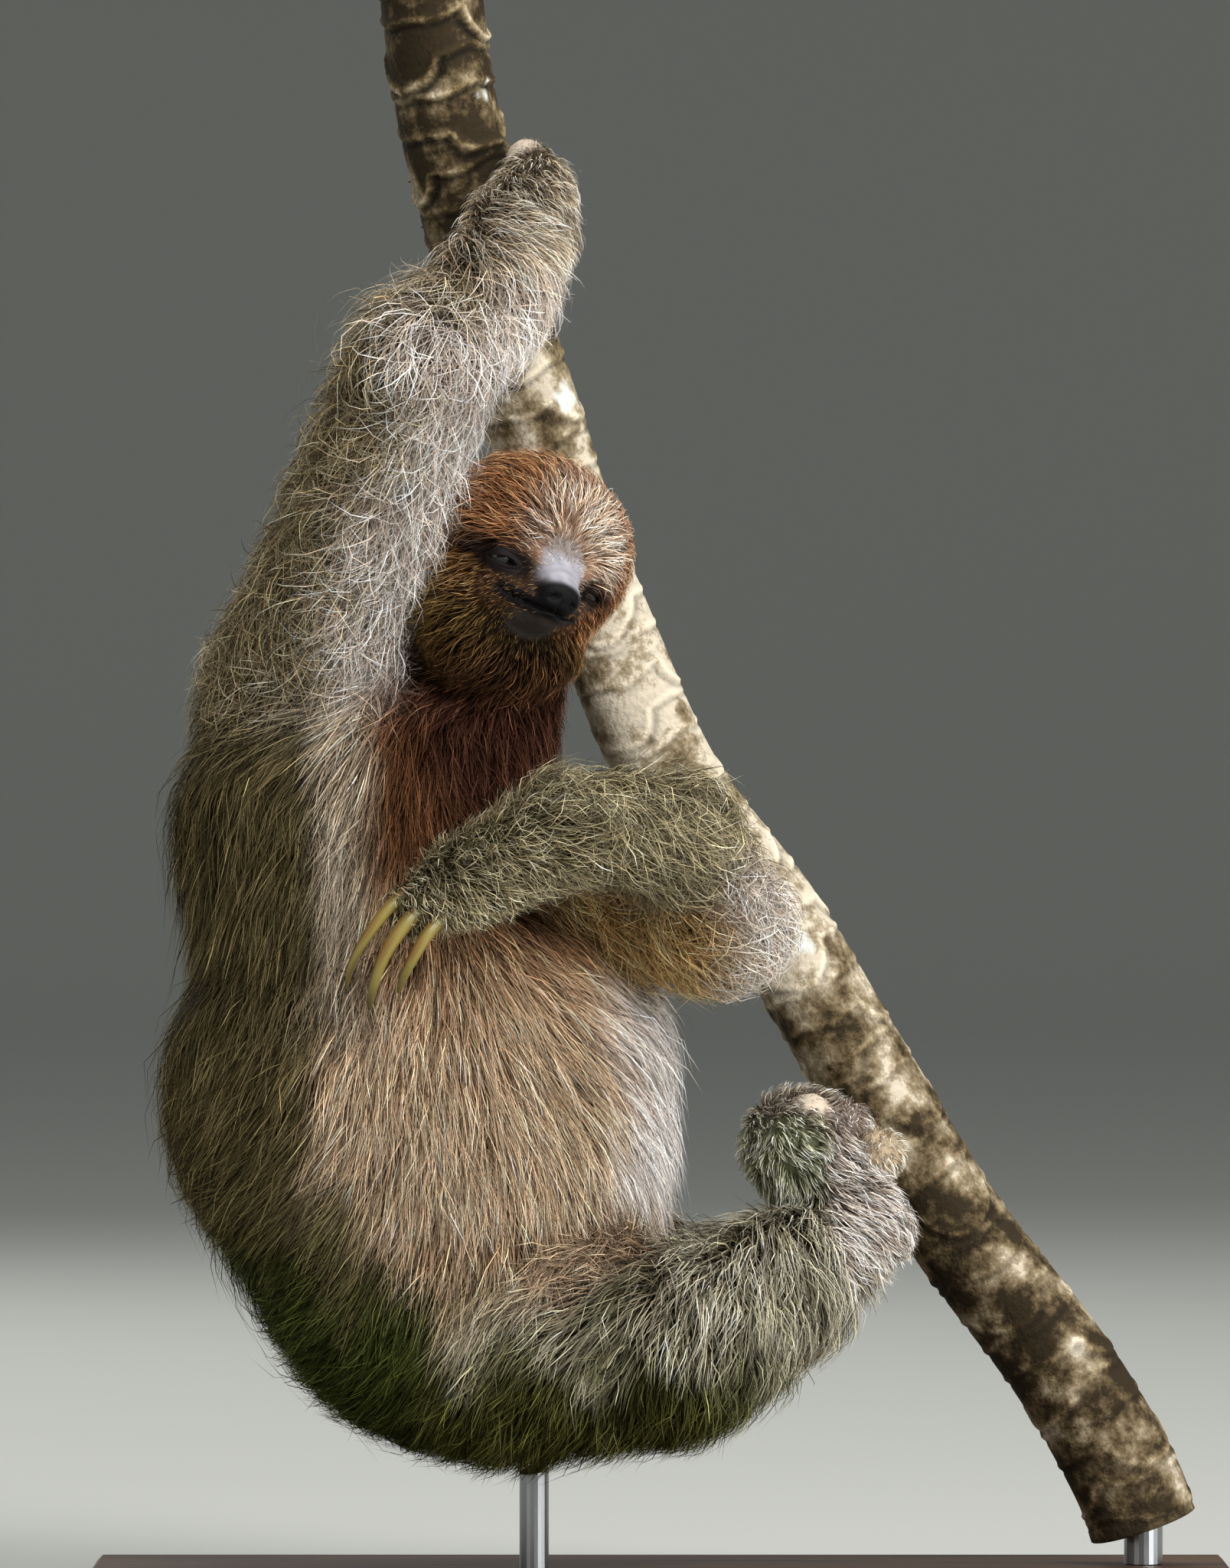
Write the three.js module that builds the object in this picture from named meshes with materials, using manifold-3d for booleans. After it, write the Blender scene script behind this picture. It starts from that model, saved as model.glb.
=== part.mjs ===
// A brown-throated three-toed sloth, life size, hanging on a cut length of cecropia branch over a display stand.
// Millimetres, +Z up. The animal's face looks along -Y and a little towards +X, its back lies towards -X.
// The origin is the centre of the stand's underside.
//
// Every soft region is a distance field built from round cones and ellipsoids. Each radius is a flesh radius plus
// the depth of the coat there, so that the solids reach the tips of the hair. The fields are meshed, cut by their
// neighbours with a small gap, and the limbs are parted across at the joints.

import * as THREE from 'three';
import { mergeVertices } from 'three/addons/utils/BufferGeometryUtils.js';
import Module from 'manifold-3d';

const wasm = await Module();
wasm.setup();

// ---------------------------------------------------------------- driving dimensions

const GAP = 0.4;              // clearance left between touching pieces
const PART_CUT = 0.4;         // width of the cuts that part a limb at its joints
const TRUNK_CELL = 22;        // mesh cell on the trunk
const LIMB_CELL = 19;         // mesh cell on arms, legs, neck and tail
const HEAD_CELL = 10.3;       // mesh cell on the head
const HEAD_REACH = 75;        // half side of the box the head is meshed in

const BASE = { width: 470, depth: 290, thickness: 12, chamfer: 2 };
const ROD_DIAMETER = 12;
const PERCH_ROD_DIAMETER = 16;
const BODY_ROD = { x: -52, y: 0, top: 68 };
const PERCH_ROD = { x: 199, y: 64, top: 28 };

const BRANCH_SIDES = 10;
const BRANCH_STEP = 23;       // length of branch between two rings of its mesh
const SCAR_SPACING = 24;      // distance between leaf-scar rings
const SCAR_HEIGHT = 1.4;      // how far a scar ring stands out

const EYE_RADIUS = 6;
const CLAW_SIDES = 6;
const CLAW_STEPS = 5;

const v = (x, y, z) => new THREE.Vector3(x, y, z);

// ---------------------------------------------------------------- skeleton
// a joint is a place, the radius of the flesh there and the depth of the coat over it

const joint = (x, y, z, flesh, coat) => ({ at: v(x, y, z), radius: flesh + coat });

const ARM_RIGHT = {
  shoulder: joint(-152, 4, 370, 25, 16),
  middle: joint(-121, -49, 443, 18, 16),
  elbow: joint(-98, -92, 502, 15, 20),
  forearm: joint(-71, -66, 531, 13, 19),
  wrist: joint(-57, -42, 559, 15, 11),
  palm: joint(-52, -27, 575, 11, 8),
  knuckles: joint(-53, -14, 587, 8, 3),
};
const ARM_LEFT = {
  shoulder: joint(-40, 8, 291, 20, 14),
  elbowBack: joint(25, -31, 277, 14, 17),
  elbow: joint(8, -66, 316, 13, 14),
  middle: joint(-39, -86, 317, 13, 14),
  wrist: joint(-79, -94, 295, 11, 11),
  knuckles: joint(-99, -98, 285, 9, 6),
};
const LEG_RIGHT = {
  hip: joint(-58, -16, 110, 37, 23),
  knee: joint(6, -40, 107, 24, 22),
  shin: joint(46, -18, 128, 18, 20),
  ankle: joint(80, 2, 154, 14, 14),
  instep: joint(57, 10, 186, 20, 8),
  toes: joint(76, 16, 196, 8, 4),
};
const LEG_LEFT = {
  hip: joint(-46, 46, 122, 32, 20),
  knee: joint(20, 80, 117, 22, 18),
  ankle: joint(82, 92, 148, 12, 12),
  instep: joint(101, 92, 164, 10, 8),
};
const NECK = { top: joint(-62, 2, 400, 22, 8), base: joint(-84, 8, 344, 30, 12) };
const TAIL = { root: joint(-92, 52, 92, 10, 10), tip: joint(-100, 70, 70, 6, 7) };

const TRUNK = [
  { centre: v(-122, 8, 321), radii: v(83, 60, 83), twist: 20 },
  { centre: v(-99, 4, 214), radii: v(108, 72, 108), twist: 10 },
  { centre: v(-80, 2, 138), radii: v(86, 69, 78), twist: 15 },
];

// ---------------------------------------------------------------- head frame
// the head is turned 29.5 degrees to +X and leans 23 degrees the same way

const HEAD_AT = v(-54, -28, 428);
const HEAD_TURN = THREE.MathUtils.degToRad(29.5);
const HEAD_LEAN = THREE.MathUtils.degToRad(23);
const headFrame = new THREE.Matrix4()
  .makeTranslation(HEAD_AT)
  .multiply(new THREE.Matrix4().makeRotationY(HEAD_LEAN))
  .multiply(new THREE.Matrix4().makeRotationZ(HEAD_TURN));
const toHead = headFrame.clone().invert();
const onHead = (side, forward, up) => v(side, -forward, up).applyMatrix4(headFrame);

const HEAD_PARTS = [
  { centre: v(2, 3, 1), radii: v(45, 36, 41) },
  { centre: v(0, -9, -8), radii: v(32, 24, 25) },
  { centre: v(0, -6, -19), radii: v(28, 25, 17) },
  { centre: v(0, -25, -12), radii: v(14, 14, 11) },
  { centre: v(2, 2, -30), radii: v(40, 30, 31) },
];
const EYES = { side: 21.3, forward: 23, up: -6.5 };
const NOSE = { centre: v(0.5, -36, -10), radii: v(8.5, 6, 6.5) };

// ---------------------------------------------------------------- distance fields

function ellipsoid(p, centre, radii, twist = 0) {
  const turned = p.clone().sub(centre).applyAxisAngle(v(0, 0, 1), -THREE.MathUtils.degToRad(twist));
  const near = turned.clone().divide(radii).length();
  const far = turned.divide(radii).divide(radii).length();
  return far === 0 ? -Math.min(radii.x, radii.y, radii.z) : near * (near - 1) / far;
}

function roundCone(p, a, b) {
  const along = b.at.clone().sub(a.at);
  const reach = p.clone().sub(a.at);
  const t = THREE.MathUtils.clamp(reach.dot(along) / along.lengthSq(), 0, 1);
  return reach.addScaledVector(along, -t).length() - THREE.MathUtils.lerp(a.radius, b.radius, t);
}

function blend(distances, softness) {
  return distances.reduce((a, b) => {
    const h = Math.max(softness - Math.abs(a - b), 0) / softness;
    return Math.min(a, b) - h * h * softness / 4;
  });
}

const LIMB_SOFTNESS = 9;
const chain = (...joints) => (p) =>
  blend(joints.slice(1).map((joint, i) => roundCone(p, joints[i], joint)), LIMB_SOFTNESS);

const trunkField = (p) => blend(TRUNK.map((part) => ellipsoid(p, part.centre, part.radii, part.twist)), 40);
const headField = (p) => {
  const local = p.clone().applyMatrix4(toHead);
  return blend(HEAD_PARTS.map((part) => ellipsoid(local, part.centre, part.radii)), 7);
};

// ---------------------------------------------------------------- from field to solid

const CORNERS = [0, 1, 2, 3, 4, 5, 6, 7].map((i) => [i & 1, (i >> 1) & 1, i >> 2]);
const EDGES = [];
for (let a = 0; a < CORNERS.length; a++) {
  for (const bit of [1, 2, 4]) {
    if (!(a & bit)) EDGES.push([a, a | bit]);
  }
}

// surface nets: one vertex in each cell that the surface crosses, drawn onto the surface, and one quad
// across each grid edge that changes sign
function solidFromField(field, box, cell) {
  const count = box.getSize(v(0, 0, 0)).divideScalar(cell).ceil().addScalar(1);
  const [nx, ny, nz] = count.toArray();
  const index = (i, j, k) => i + nx * (j + ny * k);
  const place = (i, j, k) => v(i, j, k).multiplyScalar(cell).add(box.min);
  const values = new Float64Array(nx * ny * nz);
  for (let k = 0; k < nz; k++) {
    for (let j = 0; j < ny; j++) {
      for (let i = 0; i < nx; i++) values[index(i, j, k)] = field(place(i, j, k));
    }
  }
  const vertexOf = new Map();
  const vertices = [];
  for (let k = 0; k < nz - 1; k++) {
    for (let j = 0; j < ny - 1; j++) {
      for (let i = 0; i < nx - 1; i++) {
        const crossings = [];
        for (const [a, b] of EDGES) {
          const [pa, pb] = [a, b].map((c) => [i + CORNERS[c][0], j + CORNERS[c][1], k + CORNERS[c][2]]);
          const [da, db] = [values[index(...pa)], values[index(...pb)]];
          if ((da < 0) !== (db < 0)) crossings.push(place(...pa).lerp(place(...pb), da / (da - db)));
        }
        if (crossings.length === 0) continue;
        const mean = crossings.reduce((sum, q) => sum.add(q), v(0, 0, 0)).divideScalar(crossings.length);
        vertexOf.set(index(i, j, k), vertices.length);
        vertices.push(drawnToSurface(field, mean));
      }
    }
  }
  const triangles = [];
  const steps = [[1, 0, 0], [0, 1, 0], [0, 0, 1]];
  for (let k = 1; k < nz - 1; k++) {
    for (let j = 1; j < ny - 1; j++) {
      for (let i = 1; i < nx - 1; i++) {
        for (let axis = 0; axis < 3; axis++) {
          const [dx, dy, dz] = steps[axis];
          const here = values[index(i, j, k)] < 0;
          if (here === (values[index(i + dx, j + dy, k + dz)] < 0)) continue;
          const u = steps[(axis + 1) % 3];
          const w = steps[(axis + 2) % 3];
          const quad = [[0, 0], [1, 0], [1, 1], [0, 1]].map(([s, t]) =>
            vertexOf.get(index(i - s * u[0] - t * w[0], j - s * u[1] - t * w[1], k - s * u[2] - t * w[2])));
          if (!here) quad.reverse();
          triangles.push(quad[0], quad[1], quad[2], quad[0], quad[2], quad[3]);
        }
      }
    }
  }
  return solid(vertices.flatMap((q) => q.toArray()), triangles);
}

function drawnToSurface(field, start) {
  const q = start.clone();
  const probe = 0.5;
  for (let pass = 0; pass < 3; pass++) {
    const value = field(q);
    const slope = v(
      field(q.clone().add(v(probe, 0, 0))) - value,
      field(q.clone().add(v(0, probe, 0))) - value,
      field(q.clone().add(v(0, 0, probe))) - value,
    ).divideScalar(probe);
    q.addScaledVector(slope, -0.8 * value / Math.max(slope.lengthSq(), 0.2));
  }
  return q;
}

function solid(vertProperties, triVerts) {
  return new wasm.Manifold(new wasm.Mesh({
    numProp: 3,
    vertProperties: new Float32Array(vertProperties),
    triVerts: new Uint32Array(triVerts),
  }));
}

function solidFromGeometry(source) {
  const bare = source.clone();
  bare.deleteAttribute('normal');
  bare.deleteAttribute('uv');
  const merged = mergeVertices(bare, 1e-4);
  return solid(merged.attributes.position.array, merged.index.array);
}

function geometryFromSolid(body) {
  const mesh = body.getMesh();
  const geometry = new THREE.BufferGeometry();
  geometry.setAttribute('position', new THREE.BufferAttribute(mesh.vertProperties, 3));
  geometry.setIndex(new THREE.BufferAttribute(mesh.triVerts, 1));
  geometry.computeVertexNormals();
  return geometry;
}

// the same solid with its skin moved out by the gap, used as a cutter
function grown(body, distance = GAP) {
  const geometry = geometryFromSolid(body);
  const position = geometry.attributes.position;
  const normal = geometry.attributes.normal;
  for (let i = 0; i < position.count; i++) {
    position.setXYZ(
      i,
      position.getX(i) + distance * normal.getX(i),
      position.getY(i) + distance * normal.getY(i),
      position.getZ(i) + distance * normal.getZ(i),
    );
  }
  return solidFromGeometry(geometry);
}

const without = (body, ...others) => others.reduce((rest, other) => rest.subtract(grown(other)), body);

const largest = (body) => body.decompose().sort((a, b) => b.volume() - a.volume())[0];

// cuts a body across with a thin disc and returns the side that the direction points to, then the other side
function parted(body, at, direction, radius) {
  const along = direction.clone().normalize();
  const turn = new THREE.Quaternion().setFromUnitVectors(v(0, 1, 0), along);
  const disc = new THREE.CylinderGeometry(radius, radius, PART_CUT, 24);
  disc.applyQuaternion(turn);
  disc.translate(at.x, at.y, at.z);
  const pieces = body.subtract(solidFromGeometry(disc)).decompose().sort((a, b) => b.volume() - a.volume());
  const side = (piece) => {
    const mesh = piece.getMesh();
    const middle = v(0, 0, 0);
    for (let i = 0; i < mesh.numVert; i++) middle.add(v(...mesh.position(i)));
    return middle.divideScalar(mesh.numVert).sub(at).dot(along);
  };
  return pieces.slice(0, 2).sort((a, b) => side(b) - side(a));
}

function boxRound(joints, margin) {
  const box = new THREE.Box3();
  for (const { at, radius } of joints) {
    box.union(new THREE.Box3().setFromCenterAndSize(at, v(1, 1, 1).multiplyScalar(2 * (radius + margin))));
  }
  return box;
}

// ---------------------------------------------------------------- swept pieces

// a closed tube along a curve, whose radius is a function of the share of the length and of the side's angle
function sweep(curve, steps, sides, radiusAt, fromY = v(0, 1, 0)) {
  const vertices = [];
  for (let i = 0; i <= steps; i++) {
    const t = i / steps;
    const centre = curve.getPointAt(t);
    const along = curve.getTangentAt(t);
    const across = fromY.clone().cross(along).normalize();
    const up = along.clone().cross(across);
    for (let s = 0; s < sides; s++) {
      const angle = 2 * Math.PI * s / sides;
      const [wide, high] = radiusAt(t, angle);
      vertices.push(centre.clone()
        .addScaledVector(across, wide * Math.cos(angle))
        .addScaledVector(up, high * Math.sin(angle)));
    }
  }
  const ends = [vertices.length, vertices.length + 1];
  vertices.push(curve.getPointAt(0), curve.getPointAt(1));
  const triangles = [];
  for (let s = 0; s < sides; s++) {
    const next = (s + 1) % sides;
    for (let i = 0; i < steps; i++) {
      const [a, b, c, d] = [i * sides + s, i * sides + next, (i + 1) * sides + next, (i + 1) * sides + s];
      triangles.push(a, b, c, a, c, d);
    }
    triangles.push(ends[0], next, s);
    triangles.push(ends[1], steps * sides + s, steps * sides + next);
  }
  return solid(vertices.flatMap((q) => q.toArray()), triangles);
}

// ---------------------------------------------------------------- branch
// the perch runs from beyond the raised hand down past the feet, bowing away behind the animal

const BRANCH_LINE = new THREE.CatmullRomCurve3([
  v(-96, 2, 670),
  v(-87, 6, 608),
  v(-76, 14, 563),
  v(-67, 24, 529),
  v(-51, 36, 479),
  v(-40, 43, 442),
  v(-19, 48, 386),
  v(5, 50, 333),
  v(45, 51, 279),
  v(79, 51, 222),
  v(119, 53, 156),
  v(167, 58, 92),
  v(193, 62, 46),
  v(199, 64, 29),
]);
const branchRadius = (t) => 21 - 1.2 * Math.sin(Math.PI * t) + 1.5 * t;

function branch() {
  const length = BRANCH_LINE.getLength();
  const steps = Math.round(length / BRANCH_STEP);
  return sweep(BRANCH_LINE, steps, BRANCH_SIDES, (t, angle) => {
    const ring = Math.max(0, Math.cos(2 * Math.PI * t * length / SCAR_SPACING)) * SCAR_HEIGHT;
    const radius = branchRadius(t) + ring + 0.6 * Math.sin(3 * angle + 9 * t);
    return [radius, radius];
  });
}

// ---------------------------------------------------------------- claws

// a claw tapers from a deep oval root to a blunt point
function claw(points, width) {
  const curve = new THREE.CatmullRomCurve3(points);
  return sweep(curve, CLAW_STEPS, CLAW_SIDES, (t) => {
    const taper = Math.pow(1 - t, 0.55) * 0.88 + 0.12;
    return [0.5 * width * taper, 0.62 * width * taper];
  }, v(0.3, 1, 0.2));
}

// hooks lie round the branch: angles are measured about the branch, from +X towards +Y
function hook(along, fromDegrees, toDegrees, width, clear) {
  const centre = BRANCH_LINE.getPointAt(along);
  const tangent = BRANCH_LINE.getTangentAt(along);
  const across = v(1, 0, 0).addScaledVector(tangent, -tangent.x).normalize();
  const back = tangent.clone().cross(across).normalize();
  if (back.y < 0) back.negate();
  const points = [];
  const turns = 6;
  for (let i = 0; i <= turns; i++) {
    const angle = THREE.MathUtils.degToRad(THREE.MathUtils.lerp(fromDegrees, toDegrees, i / turns));
    const reach = branchRadius(along) + SCAR_HEIGHT + 0.6 + 0.62 * width + clear * (1 - i / turns);
    points.push(centre.clone()
      .addScaledVector(across, reach * Math.cos(angle))
      .addScaledVector(back, reach * Math.sin(angle)));
  }
  return claw(points, width);
}

const LEFT_HAND_CLAWS = [
  [v(-101, -99, 291), v(-110, -105, 284), v(-119, -104, 272), v(-125, -97, 261), v(-127, -88, 252)],
  [v(-95, -101, 286), v(-103, -107, 278), v(-111, -107, 266), v(-116, -100, 253), v(-118, -89, 243)],
  [v(-87, -101, 282), v(-94, -107, 274), v(-100, -106, 264), v(-104, -99, 256), v(-106, -90, 250)],
];
const LEFT_HAND_WIDTHS = [6, 7, 6.3];

// ---------------------------------------------------------------- materials

const finish = (color, roughness, metalness = 0) =>
  () => new THREE.MeshStandardMaterial({ color, roughness, metalness });
const COAT_GREY = finish('#857a67', 0.95);
const COAT_TAN = finish('#a98b70', 0.95);
const COAT_GREEN = finish('#7d7c5c', 0.95);
const COAT_FACE = finish('#9a7350', 0.9);
const SKIN_DARK = finish('#2a2729', 0.5);
const EYE = finish('#1b120c', 0.1);
const HORN = finish('#96863a', 0.45);
const BARK = finish('#6f6350', 0.9);
const STEEL = finish('#a9a9a6', 0.35, 1);
const PLINTH = finish('#3a2c22', 0.5);

// ---------------------------------------------------------------- assembly

const sloth = new THREE.Group();

function place(name, body, material) {
  const mesh = new THREE.Mesh(geometryFromSolid(body), material());
  mesh.name = name;
  sloth.add(mesh);
}

const fieldOfJoints = (joints) => solidFromField(chain(...joints), boxRound(joints, 1.5 * LIMB_CELL), LIMB_CELL);
const boxAt = (centre, half) => new THREE.Box3().setFromCenterAndSize(centre, half.clone().multiplyScalar(2));

const perch = branch();

const clawsOf = {
  hand_left: LEFT_HAND_CLAWS.map((points, i) => claw(points, LEFT_HAND_WIDTHS[i])),
  hand_right: [0.122, 0.136, 0.15].map((along) => hook(along, -18, 150, 5.6, 2)),
  foot_right: [0.7, 0.717, 0.734].map((along) => hook(along, 238, 82, 5.4, 2)),
  foot_left: [0.752, 0.769, 0.786].map((along) => hook(along, 140, 58, 5.4, 2)),
};

const trunk = solidFromField(trunkField, boxAt(v(-100, 5, 220), v(150, 120, 220)), TRUNK_CELL);

const eyes = [-1, 1].map((side) => {
  const ball = new THREE.IcosahedronGeometry(EYE_RADIUS, 1);
  const at = onHead(side * EYES.side, EYES.forward, EYES.up);
  ball.translate(at.x, at.y, at.z);
  return solidFromGeometry(ball);
});
const nosePad = (() => {
  const ball = new THREE.IcosahedronGeometry(1, 1);
  ball.scale(NOSE.radii.x, NOSE.radii.y, NOSE.radii.z);
  ball.translate(NOSE.centre.x, NOSE.centre.y, NOSE.centre.z);
  ball.applyMatrix4(headFrame);
  return solidFromGeometry(ball);
})();

// the whole, uncut bodies serve as the cutters of their neighbours
const headWhole = solidFromField(headField, boxAt(HEAD_AT, v(1, 1, 1).multiplyScalar(HEAD_REACH)), HEAD_CELL);
const neckWhole = fieldOfJoints([NECK.top, NECK.base]);
const tailWhole = fieldOfJoints([TAIL.root, TAIL.tip]);
const legRightWhole = fieldOfJoints(Object.values(LEG_RIGHT));

const head = largest(without(headWhole, trunk, ...eyes, nosePad));
const neck = largest(without(neckWhole, headWhole, trunk));
const tail = largest(without(tailWhole, trunk));
const armRight = largest(without(fieldOfJoints(Object.values(ARM_RIGHT)),
  trunk, neckWhole, headWhole, perch, ...clawsOf.hand_right));
const armLeft = largest(without(fieldOfJoints(Object.values(ARM_LEFT)),
  trunk, neckWhole, perch, ...clawsOf.hand_left));
const legRight = largest(without(legRightWhole, trunk, perch, ...clawsOf.foot_right));
const legLeft = largest(without(fieldOfJoints(Object.values(LEG_LEFT)),
  trunk, legRightWhole, tailWhole, perch, ...clawsOf.foot_left));

// parts a limb at two joints into its near, middle and far lengths
function lengths(limb, first, second) {
  const [rest, near] = parted(limb, first.at, first.along, first.radius);
  const [far, middle] = parted(rest, second.at, second.along, second.radius);
  return [near, middle, far];
}
// half the width of each cut: enough to part the limb there, and short of its other lengths
const CUT = { elbow: 70, wrist: 40, lap: 110, knee: 75, tightKnee: 70, ankle: 70, tightAnkle: 45 };
// a cut across a bend lies midway between the lengths on its two sides
const bend = (before, joint, after, radius) => ({
  at: joint.at,
  along: after.at.clone().sub(joint.at).normalize().sub(before.at.clone().sub(joint.at).normalize()),
  radius,
});

place('head', head, COAT_FACE);
place('nose', nosePad, SKIN_DARK);
eyes.forEach((eye, i) => place(['eye_right', 'eye_left'][i], eye, EYE));
place('neck', neck, COAT_FACE);
place('trunk', trunk, COAT_TAN);
place('tail', tail, COAT_GREEN);

const LIMBS = [
  ['arm_right', ['upper_arm', 'forearm', 'hand'], armRight, COAT_GREY,
    bend(ARM_RIGHT.middle, ARM_RIGHT.elbow, ARM_RIGHT.wrist, CUT.elbow),
    bend(ARM_RIGHT.elbow, ARM_RIGHT.wrist, ARM_RIGHT.palm, CUT.wrist)],
  ['arm_left', ['upper_arm', 'forearm', 'hand'], armLeft, COAT_GREY,
    { at: v(5, -40, 296), along: v(-8, -26, 24), radius: CUT.lap },
    bend(ARM_LEFT.middle, ARM_LEFT.wrist, ARM_LEFT.knuckles, CUT.wrist)],
  ['leg_right', ['thigh', 'shank', 'foot'], legRight, COAT_GREEN,
    bend(LEG_RIGHT.hip, LEG_RIGHT.knee, LEG_RIGHT.shin, CUT.knee),
    bend(LEG_RIGHT.shin, LEG_RIGHT.ankle, LEG_RIGHT.instep, CUT.ankle)],
  ['leg_left', ['thigh', 'shank', 'foot'], legLeft, COAT_GREEN,
    bend(LEG_LEFT.hip, LEG_LEFT.knee, LEG_LEFT.ankle, CUT.tightKnee),
    bend(LEG_LEFT.knee, LEG_LEFT.ankle, LEG_LEFT.instep, CUT.tightAnkle)],
];
for (const [limb, names, body, material, first, second] of LIMBS) {
  lengths(body, first, second).forEach((piece, i) => place(`${limb}_${names[i]}`, piece, material));
}
for (const [where, claws] of Object.entries(clawsOf)) {
  claws.forEach((piece, i) => place(`claw_${where}_${i + 1}`, piece, HORN));
}
place('branch', perch, BARK);

// ---------------------------------------------------------------- stand

function chamferedPlate({ width, depth, thickness, chamfer }) {
  const outline = new THREE.Shape();
  const [w, d] = [width / 2 - chamfer, depth / 2 - chamfer];
  outline.moveTo(-w, -d).lineTo(w, -d).lineTo(w, d).lineTo(-w, d).closePath();
  const plate = new THREE.ExtrudeGeometry(outline, {
    depth: thickness - 2 * chamfer,
    bevelEnabled: true,
    bevelThickness: chamfer,
    bevelSize: chamfer,
    bevelSegments: 1,
  });
  plate.translate(0, 0, chamfer);
  return solidFromGeometry(plate);
}

// an upright rod between two heights, a gap clear of what it stands on
function rod(x, y, top, diameter) {
  const low = BASE.thickness + GAP;
  const shaft = new THREE.CylinderGeometry(diameter / 2, diameter / 2, top - low, 24);
  shaft.rotateX(Math.PI / 2);
  shaft.translate(x, y, (top + low) / 2);
  return solidFromGeometry(shaft);
}

place('stand_base', chamferedPlate(BASE), PLINTH);
place('stand_rod_body', largest(without(
  rod(BODY_ROD.x, BODY_ROD.y, BODY_ROD.top, ROD_DIAMETER), trunk, legRightWhole)), STEEL);
place('stand_rod_branch', largest(without(
  rod(PERCH_ROD.x, PERCH_ROD.y, PERCH_ROD.top, PERCH_ROD_DIAMETER), perch)), STEEL);

export default sloth;
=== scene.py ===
# %% [markdown]
# # A three-toed sloth on its branch
# The model is a life-size sloth as a museum shows it: a skin with a face, four clawed limbs, a coat of long
# coarse hair, the branch it clings to, and a plain stand. Blender could grow hair as particles, but a museum
# piece has to be real mesh, so every lock here is a thin tapered ribbon rooted in the skin.

# %% Load the frame that everything is built around
import math

import bmesh
import bpy
import numpy as np
from mathutils import Matrix, Vector, kdtree


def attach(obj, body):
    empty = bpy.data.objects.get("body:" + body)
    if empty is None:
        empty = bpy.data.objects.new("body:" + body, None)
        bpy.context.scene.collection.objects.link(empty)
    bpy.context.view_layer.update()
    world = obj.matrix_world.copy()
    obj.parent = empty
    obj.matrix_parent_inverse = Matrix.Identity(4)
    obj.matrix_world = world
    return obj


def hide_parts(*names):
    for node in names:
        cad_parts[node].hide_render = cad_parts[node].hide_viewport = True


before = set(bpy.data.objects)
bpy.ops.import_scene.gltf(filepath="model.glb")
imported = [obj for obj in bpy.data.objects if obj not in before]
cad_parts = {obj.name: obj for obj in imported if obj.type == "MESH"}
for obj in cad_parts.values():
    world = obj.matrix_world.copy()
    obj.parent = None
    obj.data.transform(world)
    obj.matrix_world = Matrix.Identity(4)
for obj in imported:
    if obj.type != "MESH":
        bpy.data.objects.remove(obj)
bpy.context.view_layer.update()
MM = 0.001
print("frame nodes:", len(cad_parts))

# %% [markdown]
# ## Colour and node helpers
# Paint charts give colours as sRGB hex, and shaders want linear light, so one function turns one into the
# other. One function adds a node with its settings and its inputs, which keeps each material short, and one
# puts a finished mesh, lamp or camera into the scene.


# %% Small helpers
def linear(hexed):
    srgb = np.array([int(hexed[i:i + 2], 16) for i in (1, 3, 5)]) / 255
    return np.where(srgb <= 0.04045, srgb / 12.92, ((srgb + 0.055) / 1.055) ** 2.4)


def rgba(hexed):
    return (*linear(hexed), 1.0)


def add(material, kind, settings=None, **inputs):
    node = material.node_tree.nodes.new(kind)
    for key, value in (settings or {}).items():
        setattr(node, key, value)
    for key, value in inputs.items():
        socket = node.inputs[int(key[1:])] if key[1:].isdigit() else node.inputs[key.replace("_", " ")]
        if isinstance(value, bpy.types.NodeSocket):
            material.node_tree.links.new(value, socket)
        else:
            socket.default_value = value
    return node


def new_material(name, roughness, **sockets):
    material = bpy.data.materials.new(name)
    material.use_nodes = True
    surface = material.node_tree.nodes["Principled BSDF"]
    surface.inputs["Roughness"].default_value = roughness
    for key, value in sockets.items():
        surface.inputs[key.replace("_", " ")].default_value = value
    return material, surface


def link(material, output, socket):
    material.node_tree.links.new(output, socket)


def tone_of(material):
    """The colour painted on the mesh, point by point."""
    return add(material, "ShaderNodeAttribute", {"attribute_name": "tone"}).outputs["Color"]


def roughen(material, surface, size_mm, detail, strength, depth_mm, **place):
    grain = add(material, "ShaderNodeTexNoise", Scale=1 / (size_mm * MM), Detail=detail, **place)
    raised = add(material, "ShaderNodeBump", Strength=strength, Distance=depth_mm * MM,
                 Height=grain.outputs["Fac"])
    link(material, raised.outputs["Normal"], surface.inputs["Normal"])


def show(name, data):
    made = bpy.data.objects.new(name, data)
    bpy.context.scene.collection.objects.link(made)
    return made


# %% [markdown]
# ## Camera, light and floor
# A long lens six metres away, level with the animal's middle, gives the flat perspective of a wildlife
# portrait. The pale floor sweeps up into a wall all round, so no horizon shows from any side. The wall stands
# well beyond a camera that steps back eleven metres to see the whole model with this long lens. Large soft
# lamps and a pale sky light it like an overcast day.

# %% Camera
VIEW_HEIGHT_MM = 640
CAMERA_AWAY, CAMERA_ACROSS, CAMERA_HEIGHT = 6.0, -0.019, 0.334
SENSOR = 24.0
camera_data = bpy.data.cameras.new("camera")
camera_data.sensor_width = SENSOR
camera_data.lens = SENSOR * CAMERA_AWAY / (VIEW_HEIGHT_MM * MM)
camera = show("camera", camera_data)
camera.location = (CAMERA_ACROSS, -CAMERA_AWAY, CAMERA_HEIGHT)
camera.rotation_euler = (math.pi / 2, 0, 0)
bpy.context.scene.camera = camera
print("lens", round(camera_data.lens), "mm")

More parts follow.
